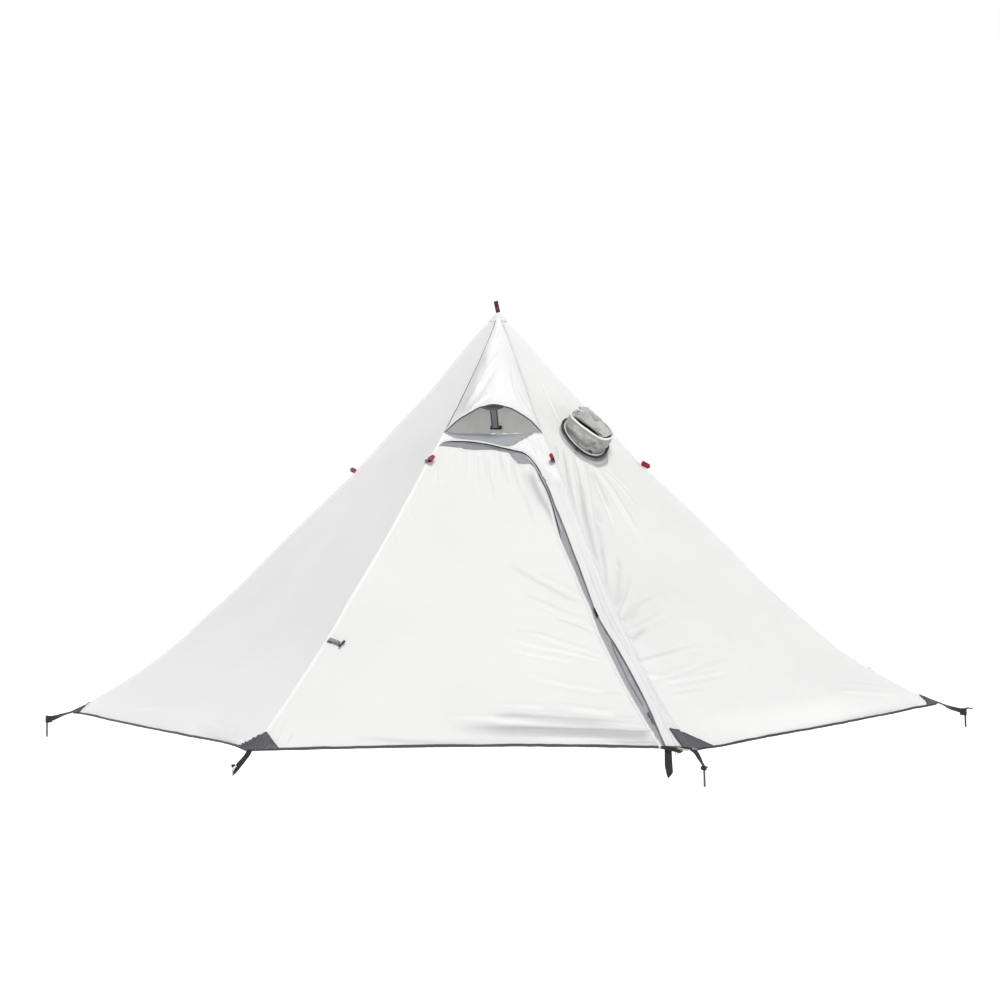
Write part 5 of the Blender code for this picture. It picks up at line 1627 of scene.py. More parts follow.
def hem_path(k, u0, u1, n):
    u = np.linspace(u0, u1, n)
    s = half_width(1.0) * u
    t_h = hem_row(k, u)
    p0 = cloth(k, t_h, s)
    p1 = cloth(k, t_h - 0.006, s)
    e = unit(np.gradient(p0, axis=0))
    d = unit(p0 - p1)
    nrm = unit(np.cross(d, e))
    return p0, d, nrm, np.concatenate([[0], np.cumsum(np.linalg.norm(np.diff(p0, axis=0), axis=1))])


def hem_binding(name, k, u0, u1, mat, tall=0.0065, body="tent_body", bend=None, roll=0.0):
    n = int(330 * abs(u1 - u0) / 2)
    n = max(n, 12)
    p0, d, nrm, ln = hem_path(k, u0, u1, n)
    h = tall * (1 + 0.14 * noise(ln / 0.05, ln * 0 + 2, 330 + k))
    wob = 0.0007 * noise(ln / 0.035, ln * 0 + 7, 340 + k)
    sect = [(-1.0, 0.0010), (-0.94, 0.0024), (-0.3, 0.0028), (0.10, 0.0022), (0.18, 0.0), (0.10, -0.0022),
            (-0.3, -0.0026), (-0.94, -0.0024), (-1.0, -0.0010)]
    rows = [p0 + d * (a * h)[:, None] + nrm * (b + wob + roll * max(0.0, 0.5 + a))[:, None] for a, b in sect]
    p = np.stack(rows, 1)
    uv = np.stack(np.broadcast_arrays(np.linspace(-0.01, 0.01, len(sect))[None, :], ln[:, None]), -1)
    o = sheet_grid(name, p, mat, uv, flip=True)
    return finish_piece(o, body, bend=bend)


zip_u = float(door_side[-1, 0] / half_width(1.0))
hem_binding("hem_binding_door", 0, -0.985, zip_u + 0.006, M_BIND, bend=DOOR_BEND)
hem_binding("hem_binding_front_right", 0, zip_u + 0.010, 0.985, M_BIND)
# the right front face's binding takes the darker tape: painted shade under its rolled hem
for k, node in FACE_NAMES.items():
    hem_binding("hem_binding_" + node[13:], k, -0.985, 0.985, M_BIND_DARK if k == 1 else M_BIND,
                tall=0.0055 if k in (1, 7) else 0.0065)


# =====================================================================
#  Corners: ripstop patches, twisted webbing straps, buckle, ring, hook and cords
# =====================================================================
def corner_half(name, k, end, shape, bend=None, seed=0, pleats=False, raised=0.0):
    """Half a corner patch on face k: end +1 at its right corner, -1 at its left; shape lists (metres from the ridge
    along the hem, height above the hem)."""
    far = shape[-1][0]
    a = np.linspace(0, 1, 34)[None, :]
    b = np.linspace(0, 1, 30)[:, None]
    A, B = np.broadcast_arrays(a * far, b)
    hgt = np.maximum(curve(shape, A), 0.0008) * B
    hw1 = half_width(1.0)
    y = arc(hem_row(k, end * (1 - A / hw1))) - hgt
    t = row_of(y)
    s = end * (half_width(t) - A)
    ang = np.arctan2(hgt + 0.004, A + 0.004)
    rad = np.hypot(hgt, A)
    pucker = (0.0013 * noise(ang * 7.5 + seed, rad * 0 + 1.5, 400 + seed) + 0.0006 * noise(ang * 19, rad / 0.03, 401 + seed))
    pucker = pucker * smooth(rad, 0.004, 0.03)
    if pleats:
        px, py = to_frame(cloth(k, t, s, 0.003))
        th = np.arctan2(px - 251.5, 762.0 - py)
        deep = 0.0021 * (0.35 + 0.65 * (1 - smooth(th, 0.42, 0.75)))
        pucker = pucker + deep * np.cos(2 * pi * (th - 0.09) / 0.180) * smooth(rad, 0.006, 0.024)
    up = 0.0046 + raised * smooth(A, 0, 0.006) + pucker
    at_ridge = np.exp(-(A / 0.0016) ** 2)[..., None]
    q = cloth(k, t, s, up) * (1 - at_ridge) + ridge(k if end > 0 else k - 1, t, up) * at_ridge
    uv = np.stack([s, y], -1)
    o = sheet_grid(name, q, M_PATCH, uv, flip=end > 0)
    finish_piece(o, None if bend else "tent_body", bend=bend)
    # darker stitched edge along the top and down the far side
    top = np.stack([s[-1], y[-1]], 1)
    side = np.stack([s[::-1, -1], y[::-1, -1]], 1)[1:]
    border = np.vstack([top, side]) if hgt[-1, -1] > 0.01 else top
    extra = np.concatenate([pucker[-1], pucker[::-1, -1][1:]]) if len(border) > len(top) else pucker[-1]
    q = cloth(k, row_of(border[:, 1]), border[:, 0], 0.0046 + raised + extra)
    o = tube(name + "_edge", q, 0.0012, M_BIND_DARK, sides=6)
    finish_piece(o, None if bend else "tent_body", bend=bend)


# for each ridge: the shape on the face to its left, and on the face to its right
PATCH = {7: ([(0, .060), (.0078, .0531), (.0368, .0235), (.0596, .004), (.062, .0005)],
             [(0, .0600), (.011, .0655), (.0477, .033), (.0798, .006), (.085, .0005)]),
         0: ([(0, .0620), (.012, .0640), (.0288, .0668)],
             [(0, .0620), (.0438, .0290), (.0785, .005), (.083, .0005)]),
         6: ([(0, .052), (.02, .018), (.034, .0005)], [(0, .052), (.014, .022), (.026, .009), (.034, .0005)]),
         1: ([(0, .049), (.016, .021), (.030, .008), (.039, .0005)], [(0, .049), (.02, .02), (.039, .0005)])}
for j in (2, 3, 4, 5):
    PATCH[j] = ([(0, .064), (.034, .030), (.066 + .003 * j, .0005)], [(0, .064), (.038, .028), (.074 - .002 * j, .0005)])
for j, name in enumerate(RIDGE_NAMES):
    left, right = PATCH[j]
    corner_half("patch_" + name + "_l", j, 1, left, seed=3 * j, pleats=j == 7, raised=0.0040 if j == 0 else 0.0)
    corner_half("patch_" + name + "_r", (j + 1) % 8, -1, right, bend=DOOR_BEND if j == 7 else None, seed=3 * j + 1,
                pleats=j == 7)


def strap_between(name, edges, start, end, true_width, mat, thick=0.0021, n=44, seed=0):
    """Webbing between two lists of frame pixels (its two selvedges); where it looks narrow it is turned on edge."""
    e4 = resample(smooth_line(np.asarray(edges, float), n * 2), n)
    rows = []
    for i, (lx, ly, rx, ry) in enumerate(e4):
        f = i / (n - 1)
        like = start * (1 - f) + end * f
        lp, rp_ = at_depth(lx, ly, like), at_depth(rx, ry, like)
        seen = np.linalg.norm(rp_ - lp)
        dz = 0.5 * sqrt(max((true_width * 0.8) ** 2 - seen ** 2, 0.0))
        lp, rp_ = at_depth(lx, ly, lp - _fw * dz), at_depth(rx, ry, rp_ + _fw * dz)
        g = np.linspace(0, 1, 7)[:, None]
        rows.append(lp * (1 - g) + rp_ * g)
    P = np.array(rows)
    gi, gj = np.gradient(P, axis=0), np.gradient(P, axis=1)
    nrm = unit(np.cross(gi, gj))
    bow = 0.0004 * noise(np.linspace(0, 5, n)[:, None] + seed, np.linspace(0, 1, 7)[None, :], 700 + seed)
    prof = np.array([0.35, 1, 1, 1, 1, 1, 0.35])[None, :, None] * thick / 2
    front, back = P + nrm * (prof + bow[..., None]), P - nrm * (prof - bow[..., None])
    both = np.concatenate([front, back[:, ::-1]], 1)
    u_w = np.linspace(-true_width / 2, true_width / 2, 7)
    ln = np.concatenate([[0], np.cumsum(np.linalg.norm(np.diff(P[:, 3], axis=0), axis=1))])
    uv = np.stack(np.broadcast_arrays(np.concatenate([u_w, u_w[::-1]])[None, :], ln[:, None]), -1)
    o = loft(name, both, mat, wrap=True, caps=True, uv=uv, sharp=40)
    finish_piece(o, "tent_body")
    return o


PEG_SIDE, PEG_FRONT, LOOP_R = 1.720, 1.666, 0.0068
PEG_AT = {j: (PEG_SIDE if j in (1, 2, 5, 6) else PEG_FRONT) for j in range(8)}
EYE_Z = {j: (0.080 if j in (1, 2, 5, 6) else 0.060) for j in range(8)}
EYE_Z[6], EYE_Z[1], EYE_Z[0] = 0.071, 0.074, 0.048
PEG_AT[6], PEG_AT[1] = 1.7175, 1.7255


def peg_point(j, z):
    return corner_dir(j)[0] * PEG_AT[j] + Z3 * z


def px_of(p):
    x, y = to_frame(np.asarray(p, float)[None])
    return float(x[0]), float(y[0])


STRAPS = {
    7: [(246.9, 749.0, 252.4, 750.2), (245.5, 753.0, 250.6, 754.2), (241.2, 758.6, 247.9, 758.1), (236.4, 763.8, 244.9, 761.9),
        (235.4, 766.5, 241.0, 766.9), (234.2, 769.4, 238.4, 770.2), (233.3, 773.2, 235.4, 773.7), (233.0, 774.8, 233.7, 774.9)],
    0: [(688.4, 749.3, 697.0, 750.2), (691.2, 751.2, 698.6, 752.6), (694.0, 753.7, 700.1, 755.0), (696.3, 757.0, 701.4, 758.0),
        (698.6, 760.4, 702.6, 761.0), (701.0, 763.8, 704.2, 764.2), (703.0, 767.2, 705.6, 766.6)],
    6: [(72.4, 711.2, 72.4, 712.8), (67.5, 712.2, 67.6, 714.1), (63.2, 713.2, 63.3, 715.9), (58.0, 714.5, 58.0, 718.4),
        (53.0, 715.6, 53.1, 720.7), (49.3, 716.2, 49.5, 722.4), (46.8, 716.4, 47.2, 723.4)],
    1: [(938.6, 702.2, 938.4, 703.4), (942.5, 703.4, 942.6, 705.2), (947.4, 705.1, 947.2, 707.9), (952.0, 706.4, 951.6, 710.1),
        (956.3, 707.3, 956.0, 711.4), (961.0, 708.3, 960.6, 713.0), (965.4, 708.9, 965.2, 714.3)]}
for j, name in enumerate(RIDGE_NAMES):
    c, e = corner_dir(j)
    rp, ze = PEG_AT[j], EYE_Z[j]
    corner = ridge(j, 1.0)
    if j in STRAPS:
        o = strap_between("corner_strap_web_" + name, STRAPS[j], corner, peg_point(j, ze),
                          {7: 0.0165, 0: 0.0185}.get(j, 0.0245), M_BLACKWEB, seed=j)
        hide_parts("corner_strap_" + name)
        # its end, sewn into a loop round the peg
        a = np.linspace(0, 2 * pi, 28, endpoint=False)
        mid_r, out_r, side_r, tall = {7: (-.0020, .0058, .0036, .0064), 0: (-.0030, .0105, .0060, .0080)}.get(
            j, (-.0055, .0100, .0060, .0225))
        ring = (c * rp + Z3 * ze + e * (side_r * np.sin(a))[:, None] + c * (mid_r + out_r * np.cos(a))[:, None])
        o = webbing("strap_eye_" + name, ring, Z3, tall, 0.0019, M_BLACKWEB, closed=True, ripple=0.0003, seed=60 + j)
        finish_piece(o, "tent_body")
        continue
    # strap: flat at the corner, on edge at the peg, round the peg and sewn back on itself
    side_corner = j in (2, 5)
    n1 = 34
    f = np.linspace(0, 1, n1)
    s0 = corner - c * 0.030 + Z3 * 0.001
    run = s0[None, :] * (1 - f)[:, None] + (c * (rp - 0.0135) + e * 0.0030 + Z3 * ze)[None, :] * f[:, None]
    run = run - Z3 * (0.004 * np.sin(pi * f) * (0.4 if side_corner else 1.0))[:, None]
    lo_f, hi_f = (0.30, 0.98) if side_corner else (0.32, 0.75)
    turn = smooth(f, lo_f, hi_f) * (pi / 2)
    wide = e[None, :] * np.cos(turn)[:, None] + Z3[None, :] * np.sin(turn)[:, None]
    a = np.radians(np.linspace(150, -150, 15))
    loop_r = LOOP_R + 0.0006
    ring = (c[None, :] * (rp + loop_r * np.cos(a))[:, None] + e[None, :] * (loop_r * np.sin(a))[:, None] + Z3 * ze)
    tail = np.array([c * (rp - 0.0135) - e * 0.0016 + Z3 * ze, c * (rp - 0.028) - e * 0.0002 + Z3 * (ze + 0.0008),
                     c * (rp - 0.040) - e * 0.0 + Z3 * (ze + 0.0016)])
    tail = resample(tail, 8)
    path = np.vstack([run, ring, tail])
    wides = np.vstack([wide, np.tile(Z3, (len(ring) + len(tail), 1))])
    wid_s = np.full(len(path), 0.0225 if side_corner else 0.0185)
    o = webbing("corner_strap_web_" + name, path, wides, wid_s, 0.0021, M_BLACKWEB, ripple=0.0004, seed=j)
    finish_piece(o, "tent_body", ["corner_strap_" + name])

# front left: ladder buckle on the strap
view_r = CAM_RIGHT - Z3 * (CAM_RIGHT @ Z3)
view_r = unit(view_r)
front = unit(np.cross(view_r, Z3))
front = front if front[1] < 0 else -front
near = peg_point(7, 0.06) + front * 0.004
for i, (x0, y0, x1, y1, r) in enumerate(((232.5, 768.4, 235.9, 765.5, 0.0013), (233.2, 769.3, 236.5, 766.3, 0.0009),
                                         (232.5, 768.4, 233.2, 769.3, 0.0011), (235.9, 765.5, 236.5, 766.3, 0.0011))):
    q = np.array([at_depth(x0 + (x1 - x0) * g, y0 + (y1 - y0) * g, near) for g in (0.0, 0.33, 0.67, 1.0)])
    o = tube(f"buckle_bar_{i}", q, r, M_PALEPLASTIC, sides=8)
    finish_piece(o, "tent_body")

# front right: ring, hook and cord at the hem beside the strap
fr = ridge(0, 1.0)
near = fr + np.array([-0.02, -0.010, 0])


def seen_path(pixels, like, n=24):
    return smooth_line(np.array([at_depth(x, y, like) for x, y in pixels]), n)


o = strap_between("hem_web", [(660.8, 746.0, 660.8, 748.6), (664.0, 745.9, 664.2, 749.6), (668.5, 746.3, 668.6, 750.6),
                              (672.5, 747.8, 672.6, 751.2), (676.5, 749.2, 676.6, 751.6), (680.0, 749.6, 680.2, 751.6),
                              (682.5, 749.9, 682.6, 751.2)], near, near, 0.0125, M_BLACKWEB, seed=4)
o = tube("hem_hook_cord", seen_path(((671.5, 750.4), (676, 751.3), (680.5, 752.0), (683.4, 750.6)), near + front * 0.004, 20),
         np.interp(np.linspace(0, 1, 20), [0, .5, 1], [.0022, .0026, .0014]), M_CORD, sides=8)
finish_piece(o, "tent_body")
ring_c = at_depth(676.6, 753.8, near + front * 0.005)
a = np.linspace(0, 2 * pi, 28, endpoint=False)
ring_pts = ring_c + view_r * (0.0036 * np.cos(a))[:, None] + Z3 * (0.0036 * np.sin(a))[:, None]
o = tube("hem_ring", ring_pts, 0.0013, M_STEEL, sides=8, closed=True)
finish_piece(o, "tent_body")
o = tube("hem_hook", seen_path(((677.8, 752.6), (679.6, 753.0), (681.4, 752.2), (682.2, 750.9)), near + front * 0.004, 22),
         0.0013, M_GUN, sides=8)
finish_piece(o, "tent_body")
o = tube("hem_cord", seen_path(((677.5, 747.3), (682, 748.7), (686, 749.6), (690.0, 750.0)), near + front * 0.003, 24),
         0.0016, M_PALECORD, sides=8)
finish_piece(o, "tent_body")
o = tube("hem_cord_2", seen_path(((680.5, 750.2), (684.0, 750.9), (687.4, 750.6), (690.0, 750.0)), near + front * 0.003, 20),
         0.0011, M_PALECORD, sides=8)
finish_piece(o, "tent_body")

# the webbing that hangs from the door's foot
ds_top = on_face(0, 1.0, half_width(1.0) - 0.072 + 0.0068, 0.0) + np.array([0, -0.0030, -0.0020])
L_ = 0.0775
ff = np.linspace(0, 1, 30)
left_x = np.interp(ff, [0, 0.50, 0.60, 0.86, 0.93, 1.0], [-0.0096, -0.0104, -0.0100, -0.0058, -0.0046, -0.0016])
right_x = np.interp(ff, [0, 0.25, 0.60, 0.80, 0.90, 1.0], [0.0098, 0.0100, 0.0112, 0.0120, 0.0066, -0.0008])
rows = []
for i, f in enumerate(ff):
    xs = np.linspace(left_x[i], right_x[i], 9)
    yy = -0.0014 * np.sin(f * 5.0) - 0.0016 * np.sin(xs * 260) * f
    rows.append(np.stack([ds_top[0] + xs, ds_top[1] + yy, np.full(9, ds_top[2] + 0.004 - (L_ + 0.002) * f)], 1))
rows = np.array(rows)
both = np.concatenate([rows + np.array([0, -0.0011, 0]), (rows + np.array([0, 0.0011, 0]))[:, ::-1]], 1)
uvw = np.stack(np.broadcast_arrays(np.concatenate([np.linspace(-0.01, 0.01, 9), np.linspace(0.01, -0.01, 9)])[None, :],
                                   (ff * L_)[:, None]), -1)
o = loft("door_foot_web", both, M_BLACKWEB, wrap=True, caps=True, uv=uvw, sharp=40)
finish_piece(o, "door_foot_strap", ["door_strap"])


# =====================================================================
#  Apex, guy-out loops, tie-back
# =====================================================================
def stadium(length, gap, count=9):
    r = gap / 2
    a = -pi / 2 + pi * np.arange(count) / (count - 1)
    b = a + pi
    return np.concatenate([np.stack([length - r + r * np.cos(a), r * np.sin(a)], 1),
                           np.stack([r + r * np.cos(b), r * np.sin(b)], 1)])


rows, uvr = [], []
for t, lift in ((0.0012, 0.0020), (0.0040, 0.0030), (0.0085, 0.0034), (0.0140, 0.0036), (0.0200, 0.0036),
                (0.0255, 0.0034), (0.0262, 0.0012)):
    ring_p = []
    for j in range(8):
        ring_p.append(ridge(j, t, lift + 0.0004))
        for u in (-0.55, 0.0, 0.55):
            k = (j + 1) % 8
            ring_p.append(on_face(k, t, half_width(t) * u, lift + 0.0005 * sin(7 * j + 3 * u)))
    rows.append(ring_p)
    uvr.append([(i * 0.004, t * 1.9 - 0.045) for i in range(32)])
o = loft("apex_cloth_cap", np.array(rows), M_SEAM, wrap=True, caps=False, uv=np.array(uvr))
finish_piece(o, "tent_body", ["apex_cap"])

lean = radians(11)
out_d, side_d = np.array([-sin(lean), 0, cos(lean)]), np.array([cos(lean), 0, sin(lean)])
foot = np.array([0, 0, Z_APEX + 0.0022])
ab = stadium(0.046, 0.0090)
path = foot + out_d * (ab[:, :1] + 0.0004) + np.array([0, 1.0, 0]) * ab[:, 1:] * 0.8
o = webbing("apex_loop_web", path, side_d, 0.0172, 0.0020, M_DARKRED, closed=True, ripple=0.0003, seed=9)
finish_piece(o, "tent_body", ["apex_loop"])
o = webbing("apex_loop_tack", np.array([foot + out_d * 0.010 + [0, -0.0046, 0], foot + out_d * 0.014 + [0, -0.0050, 0],
                                        foot + out_d * 0.018 + [0, -0.0046, 0]]), side_d, 0.0135, 0.0012, M_REDWEB)
finish_piece(o, "tent_body")

LOOP_T, LOOP_L, LOOP_GAP, LOOP_W = 0.440, 0.030, 0.012, 0.022
LOOP_ROW, LOOP_LEN = {7: 0.424, 0: 0.431, 6: 0.430, 1: 0.428}, {7: 0.034, 6: 0.018, 1: 0.032}
LOOP_WIDE = {7: 0.024, 6: 0.0175, 1: 0.0185}
for j, name in enumerate(RIDGE_NAMES):
    c, e = corner_dir(j)
    row, long_, wide_ = LOOP_ROW.get(j, LOOP_T), LOOP_LEN.get(j, LOOP_L), LOOP_WIDE.get(j, LOOP_W)
    tan_dir = unit(c * slope(row) - Z3 * DROP)
    outward = np.cross(e, tan_dir)
    outward = outward if outward @ c > 0 else -outward
    turn = {7: radians(-64), 0: radians(35)}.get(j, 0.0)
    droop = {1: radians(75), 6: radians(20)}.get(j, radians(12))
    o2 = outward * cos(turn) + np.cross(tan_dir, outward) * sin(turn)
    g2 = e * cos(turn) + np.cross(tan_dir, e) * sin(turn)
    o2, w2 = o2 * cos(droop) + tan_dir * sin(droop), tan_dir * cos(droop) - o2 * sin(droop)
    foot = ridge(j, row) + outward * 0.0030 + {1: outward * 0.006, 0: -e * 0.004}.get(j, 0.0)
    ab = stadium(long_, 0.010 if j == 6 else LOOP_GAP, 8)
    pinch = 1 - 0.45 * np.exp(-((ab[:, 0] - 0.006) / 0.006) ** 2)
    path = foot + o2 * ab[:, :1] + g2 * (ab[:, 1] * pinch)[:, None]
    mat = M_DUSKY if j in (6, 7) else M_REDWEB
    o = webbing("guy_loop_web_" + name, path, w2, wide_, 0.0021, mat, closed=True, ripple=0.0004, seed=20 + j)
    finish_piece(o, "tent_body", ["guy_loop_" + name])
    if j in (6, 1, 7):
        # a small cord ring through the webbing
        ang = np.linspace(0, 2 * pi, 20, endpoint=False)
        mid_ = foot + o2 * (long_ - 0.001 if j != 7 else 0.006)
        o = tube("guy_loop_cord_" + name, mid_ + o2 * (0.0046 * np.cos(ang))[:, None] + w2 * (0.0046 * np.sin(ang))[:, None],
                 0.0017, M_CORD, sides=8, closed=True)
        finish_piece(o, "tent_body")
    # the tab sewn on the seam under it
    rows = []
    tt = row_of(arc(row) + np.linspace(-0.0115, 0.0095, 8))[:, None]
    oo = np.linspace(-0.0095, 0.0095, 9)[None, :]
    T2, O2 = np.broadcast_arrays(tt, oo)
    p = across_ridge(j, T2, O2, 0.0030 + 0 * O2)
    o = sheet_grid("guy_loop_base_" + name, p, M_PIPING, np.stack([O2, arc(T2)], -1))
    finish_piece(o, "tent_body")
    if j in (0, 7):
        base = foot + tan_dir * 0.011 + e * (-0.005 if j == 0 else 0.003)
        out_ = o2 if j == 0 else outward
        path = smooth_line([base - tan_dir * 0.004 + out_ * 0.010, base + tan_dir * 0.002 + out_ * 0.009,
                            base + tan_dir * 0.007 + out_ * 0.004 - e * (0.004 if j == 0 else 0.0)], 12)
        o = webbing("guy_loop_tail_" + name, path, e, 0.0140, 0.0016, M_GREYWEB, seed=31 + j)
        finish_piece(o, "tent_body")

tb_t = 0.818
tb = on_face(0, tb_t, -half_width(tb_t) + 0.013, 0.0030)
td, tnn, te = down_at(0, tb_t), normal_at(0, tb_t), axes(0)[1]
l_dir = unit(te * 0.88 + td * 0.42)
l_side = np.cross(tnn, l_dir)
ab = stadium(0.036, 0.0062, 8)
path = tb + l_dir * ab[:, :1] + tnn * (ab[:, 1:] + 0.0046)
o = webbing("tieback_web", path, l_side, 0.0118, 0.0017, M_TIEWEB, closed=True, ripple=0.0005, seed=41)
finish_piece(o, "tent_body", ["tieback_loop"])
o = webbing("tieback_tack", np.array([tb + l_dir * -0.004, tb + l_dir * 0.004, tb + l_dir * 0.012]) + tnn * 0.0012, l_side,
            0.0165, 0.0016, M_BIND, seed=42)
finish_piece(o, "tent_body")
tg = tb + l_dir * 0.0470 + tnn * 0.0062
bar = unit(l_side * 0.95 + l_dir * 0.1)
xs = np.array([-0.0150, -0.0148, -0.0140, -0.0110, -0.0050, -0.0032, 0.0032, 0.0050, 0.0110, 0.0140, 0.0148, 0.0150])
rs = np.array([0.0004, 0.0022, 0.0034, 0.0039, 0.0038, 0.0024, 0.0024, 0.0038, 0.0039, 0.0034, 0.0022, 0.0004])
o = tube("toggle_bar", tg + bar * xs[:, None], rs, M_PLASTIC, sides=18)
finish_piece(o, "tieback_toggle", ["tieback_toggle"])
a = np.linspace(0, 2 * pi, 22, endpoint=False)
cord_c = (tg + tb + l_dir * 0.036) / 2
lp = unit(np.cross(bar, l_dir))
path = tg - l_dir * 0.004 + l_dir * (0.0085 * np.cos(a))[:, None] + tnn * (0.0040 * np.sin(a))[:, None]
o = tube("toggle_cord", path, 0.0010, M_CORD, sides=7, closed=True)
finish_piece(o, "tent_body")


# =====================================================================
#  Stove-pipe opening: flange, drawcord, crumpled collar, folded cover
# =====================================================================
jn, je, ju = normal_at(1, JACK_T), axes(1)[1], -down_at(1, JACK_T)
jc = axes(1)[0] * radius(JACK_T) * C8 + je * JACK_S + Z3 * height(JACK_T)
RING_R, HOLE_R, R0, R1, JACK_H, SHEAR = 0.116, 0.070, 0.086, 0.074, 0.062, 0.018


def jack(x, y, lift):
    """x along the row, y up the face, from the middle of the opening."""
    x, y, lift = np.broadcast_arrays(np.asarray(x, float), np.asarray(y, float), np.asarray(lift, float))
    return jc + je * x[..., None] + ju * y[..., None] + jn * lift[..., None]


def jack_seen(pixels, lifts):
    """Frame pixels, each with its height over the face, to x, y, height."""
    out = []
    for (px, py), h in zip(pixels, np.broadcast_to(lifts, (len(pixels),))):
        d = _fw + CAM_RIGHT * ((px - 500) / CAM_F) + CAM_UP * ((500 - py) / CAM_F)
        lam = ((jc + jn * h - _eye) @ jn) / (d @ jn)
        q = _eye + d * lam - jc
        out.append((q @ je, q @ ju, h))
    return np.array(out)


def round_line(pixels, lift, centre, r, n=120, jitter=0.0, seed=0):
    """A closed line round a centre: through the seen pixels, and round with radius r where it is hidden."""
    seen = jack_seen(pixels, lift)
    dx, dy = seen[:, 0] - centre[0], seen[:, 1] - centre[1]
    ang, rad = np.arctan2(dy, dx), np.hypot(dx, dy)
    order = np.argsort(ang)
    ang, rad = ang[order], rad[order]
    # the gap between two seen neighbours that is widest is the hidden part
    gaps = np.diff(np.concatenate([ang, [ang[0] + 2 * pi]]))
    g = int(np.argmax(gaps))
    a0, a1 = ang[g], ang[(g + 1) % len(ang)] + (2 * pi if g == len(ang) - 1 else 0)
    extra = np.linspace(a0, a1, 7)[2:-2]
    ang = np.concatenate([ang, extra])
    rad = np.concatenate([rad, np.full(len(extra), r)])
    order = np.argsort(np.mod(ang, 2 * pi))
    ang, rad = np.mod(ang, 2 * pi)[order], rad[order]
    a = np.linspace(0, 2 * pi, n, endpoint=False)
    rr = np.interp(a, ang, rad, period=2 * pi)
    ker = np.hanning(9) / np.hanning(9).sum()
    rr = np.convolve(np.concatenate([rr[-4:], rr, rr[:4]]), ker, "valid")
    if jitter:
        rr = rr + jitter * noise(np.cos(a) * 4 + 5, np.sin(a) * 4 + 5, seed)
    return a, rr


CORD_PX = [(570.4, 418.6), (562.8, 423), (563.2, 430.2), (568.6, 439.1), (575.7, 447.1), (584.6, 453.8), (591.8, 457),
           (598, 457.4), (603.4, 455.2), (606, 450.7)]
na = 144
a, r_cord = round_line(CORD_PX, 0.0070, (0, 0), 0.098, na)
ca, sa = np.cos(a), np.sin(a)

# flange of glass cloth, sewn down with two rows; its pale blue-grey is painted shade cast by the collar
R_ = np.linspace(0, 1, 22)[:, None]
FLANGE_PX = [(569.6, 446.6), (573, 449.4), (576.2, 454), (578.7, 455.4), (585, 458.5), (589.9, 461.3), (593.4, 462.4),
             (598.3, 465.9), (603.2, 464.5), (608.5, 462.7), (608.5, 453.3), (606, 448.3)]
r_out = np.maximum(round_line(FLANGE_PX, 0.003, (0, 0), 0.098, na)[1], r_cord + 0.0005)
rr = (HOLE_R + 0.002) + (r_out - HOLE_R - 0.002)[None, :] * R_
x, y = rr * ca[None, :], rr * sa[None, :]
yy = arc(JACK_T) - y
base = cloth(1, row_of(yy), x + JACK_S, 0.0)
lift = 0.0042 - 0.0030 * R_ ** 3 + 0.0015 * noise(x / 0.02, y / 0.02, 603) * np.sin(pi * R_)
p = base + jn * lift[..., None]
# inside the collar the flange lies flat, where the cloth is cut away
inner = np.clip((0.088 - rr) / 0.012, 0, 1)[..., None]
p = p * (1 - inner) + jack(x, y, 0.0034) * inner
o = sheet_grid("jack_flange", p, M_FLANGE_SHADE, np.stack([x, y], -1), wrap=True)
finish_piece(o, "tent_body", ["jack_ring"])
declare_cut(o, 0.25, 0.25, "stretched")
for off, name in ((0.0020, "outer"), (0.0075, "inner")):
    rr1 = r_out - off
    q = cloth(1, row_of(arc(JACK_T) - rr1 * sa), rr1 * ca + JACK_S, 0.0022) + jn * 0.0004
    o = tube("jack_stitch_" + name, q, 0.0007, M_PALECORD if off > 0.005 else M_PIPING, sides=6, closed=True)
    finish_piece(o, "tent_body")

# drawcord, thicker where it is pulled up
thick = 0.0034 + 0.0013 * np.clip(-np.sin(a - 0.35), 0, 1) + 0.0004 * noise(ca * 6 + 9, sa * 6 + 9, 605)
q = jack(r_cord * ca, r_cord * sa, 0.0085 + 0.0008 * noise(ca * 5 + 3, sa * 5 + 3, 606))
o = tube("jack_cord_ring", q, thick * 1.22, M_CORD, sides=12, closed=True)
finish_piece(o, "tent_body", ["jack_drawcord"])
kn = jack_seen([(576.4, 449.2)], 0.011)[0]
kp = jack(kn[0], kn[1], 0.011)
b = np.linspace(0, 2 * pi * 1.6, 34)
knot = kp + je * (0.0046 * np.cos(b))[:, None] + ju * (0.0036 * np.sin(b))[:, None] + jn * (0.0022 * np.sin(b * 0.7))[:, None]
knot = np.vstack([knot, knot[-1] - ju * 0.006, knot[-1] - ju * 0.014 + je * 0.002])
o = tube("jack_cord_knot", knot, 0.0019, M_CORD, sides=8)
finish_piece(o, "tent_body")
# pale roll between cord and collar
r_roll = r_cord - 0.0095
q = jack(r_roll * ca, r_roll * sa, 0.0090)
o = tube("jack_base_roll", q, 0.0034 * (0.75 + 0.25 * noise(ca * 4 + 2, sa * 4 + 2, 607)), M_PIPING, sides=9, closed=True)
finish_piece(o, "tent_body")

# the collar's rim, as seen
RIM_PX = [(570.8, 416.0), (577.5, 422.6), (586.4, 429.3), (595.4, 435.5), (602.5, 439.1), (607.9, 439.1),
          (612.9, 434.9)]
rim_c = (0.0, SHEAR)
rim_h = 0.0040 + JACK_H
a2, r_rim = round_line(RIM_PX, rim_h, rim_c, 0.052, na)
ca2, sa2 = np.cos(a2), np.sin(a2)

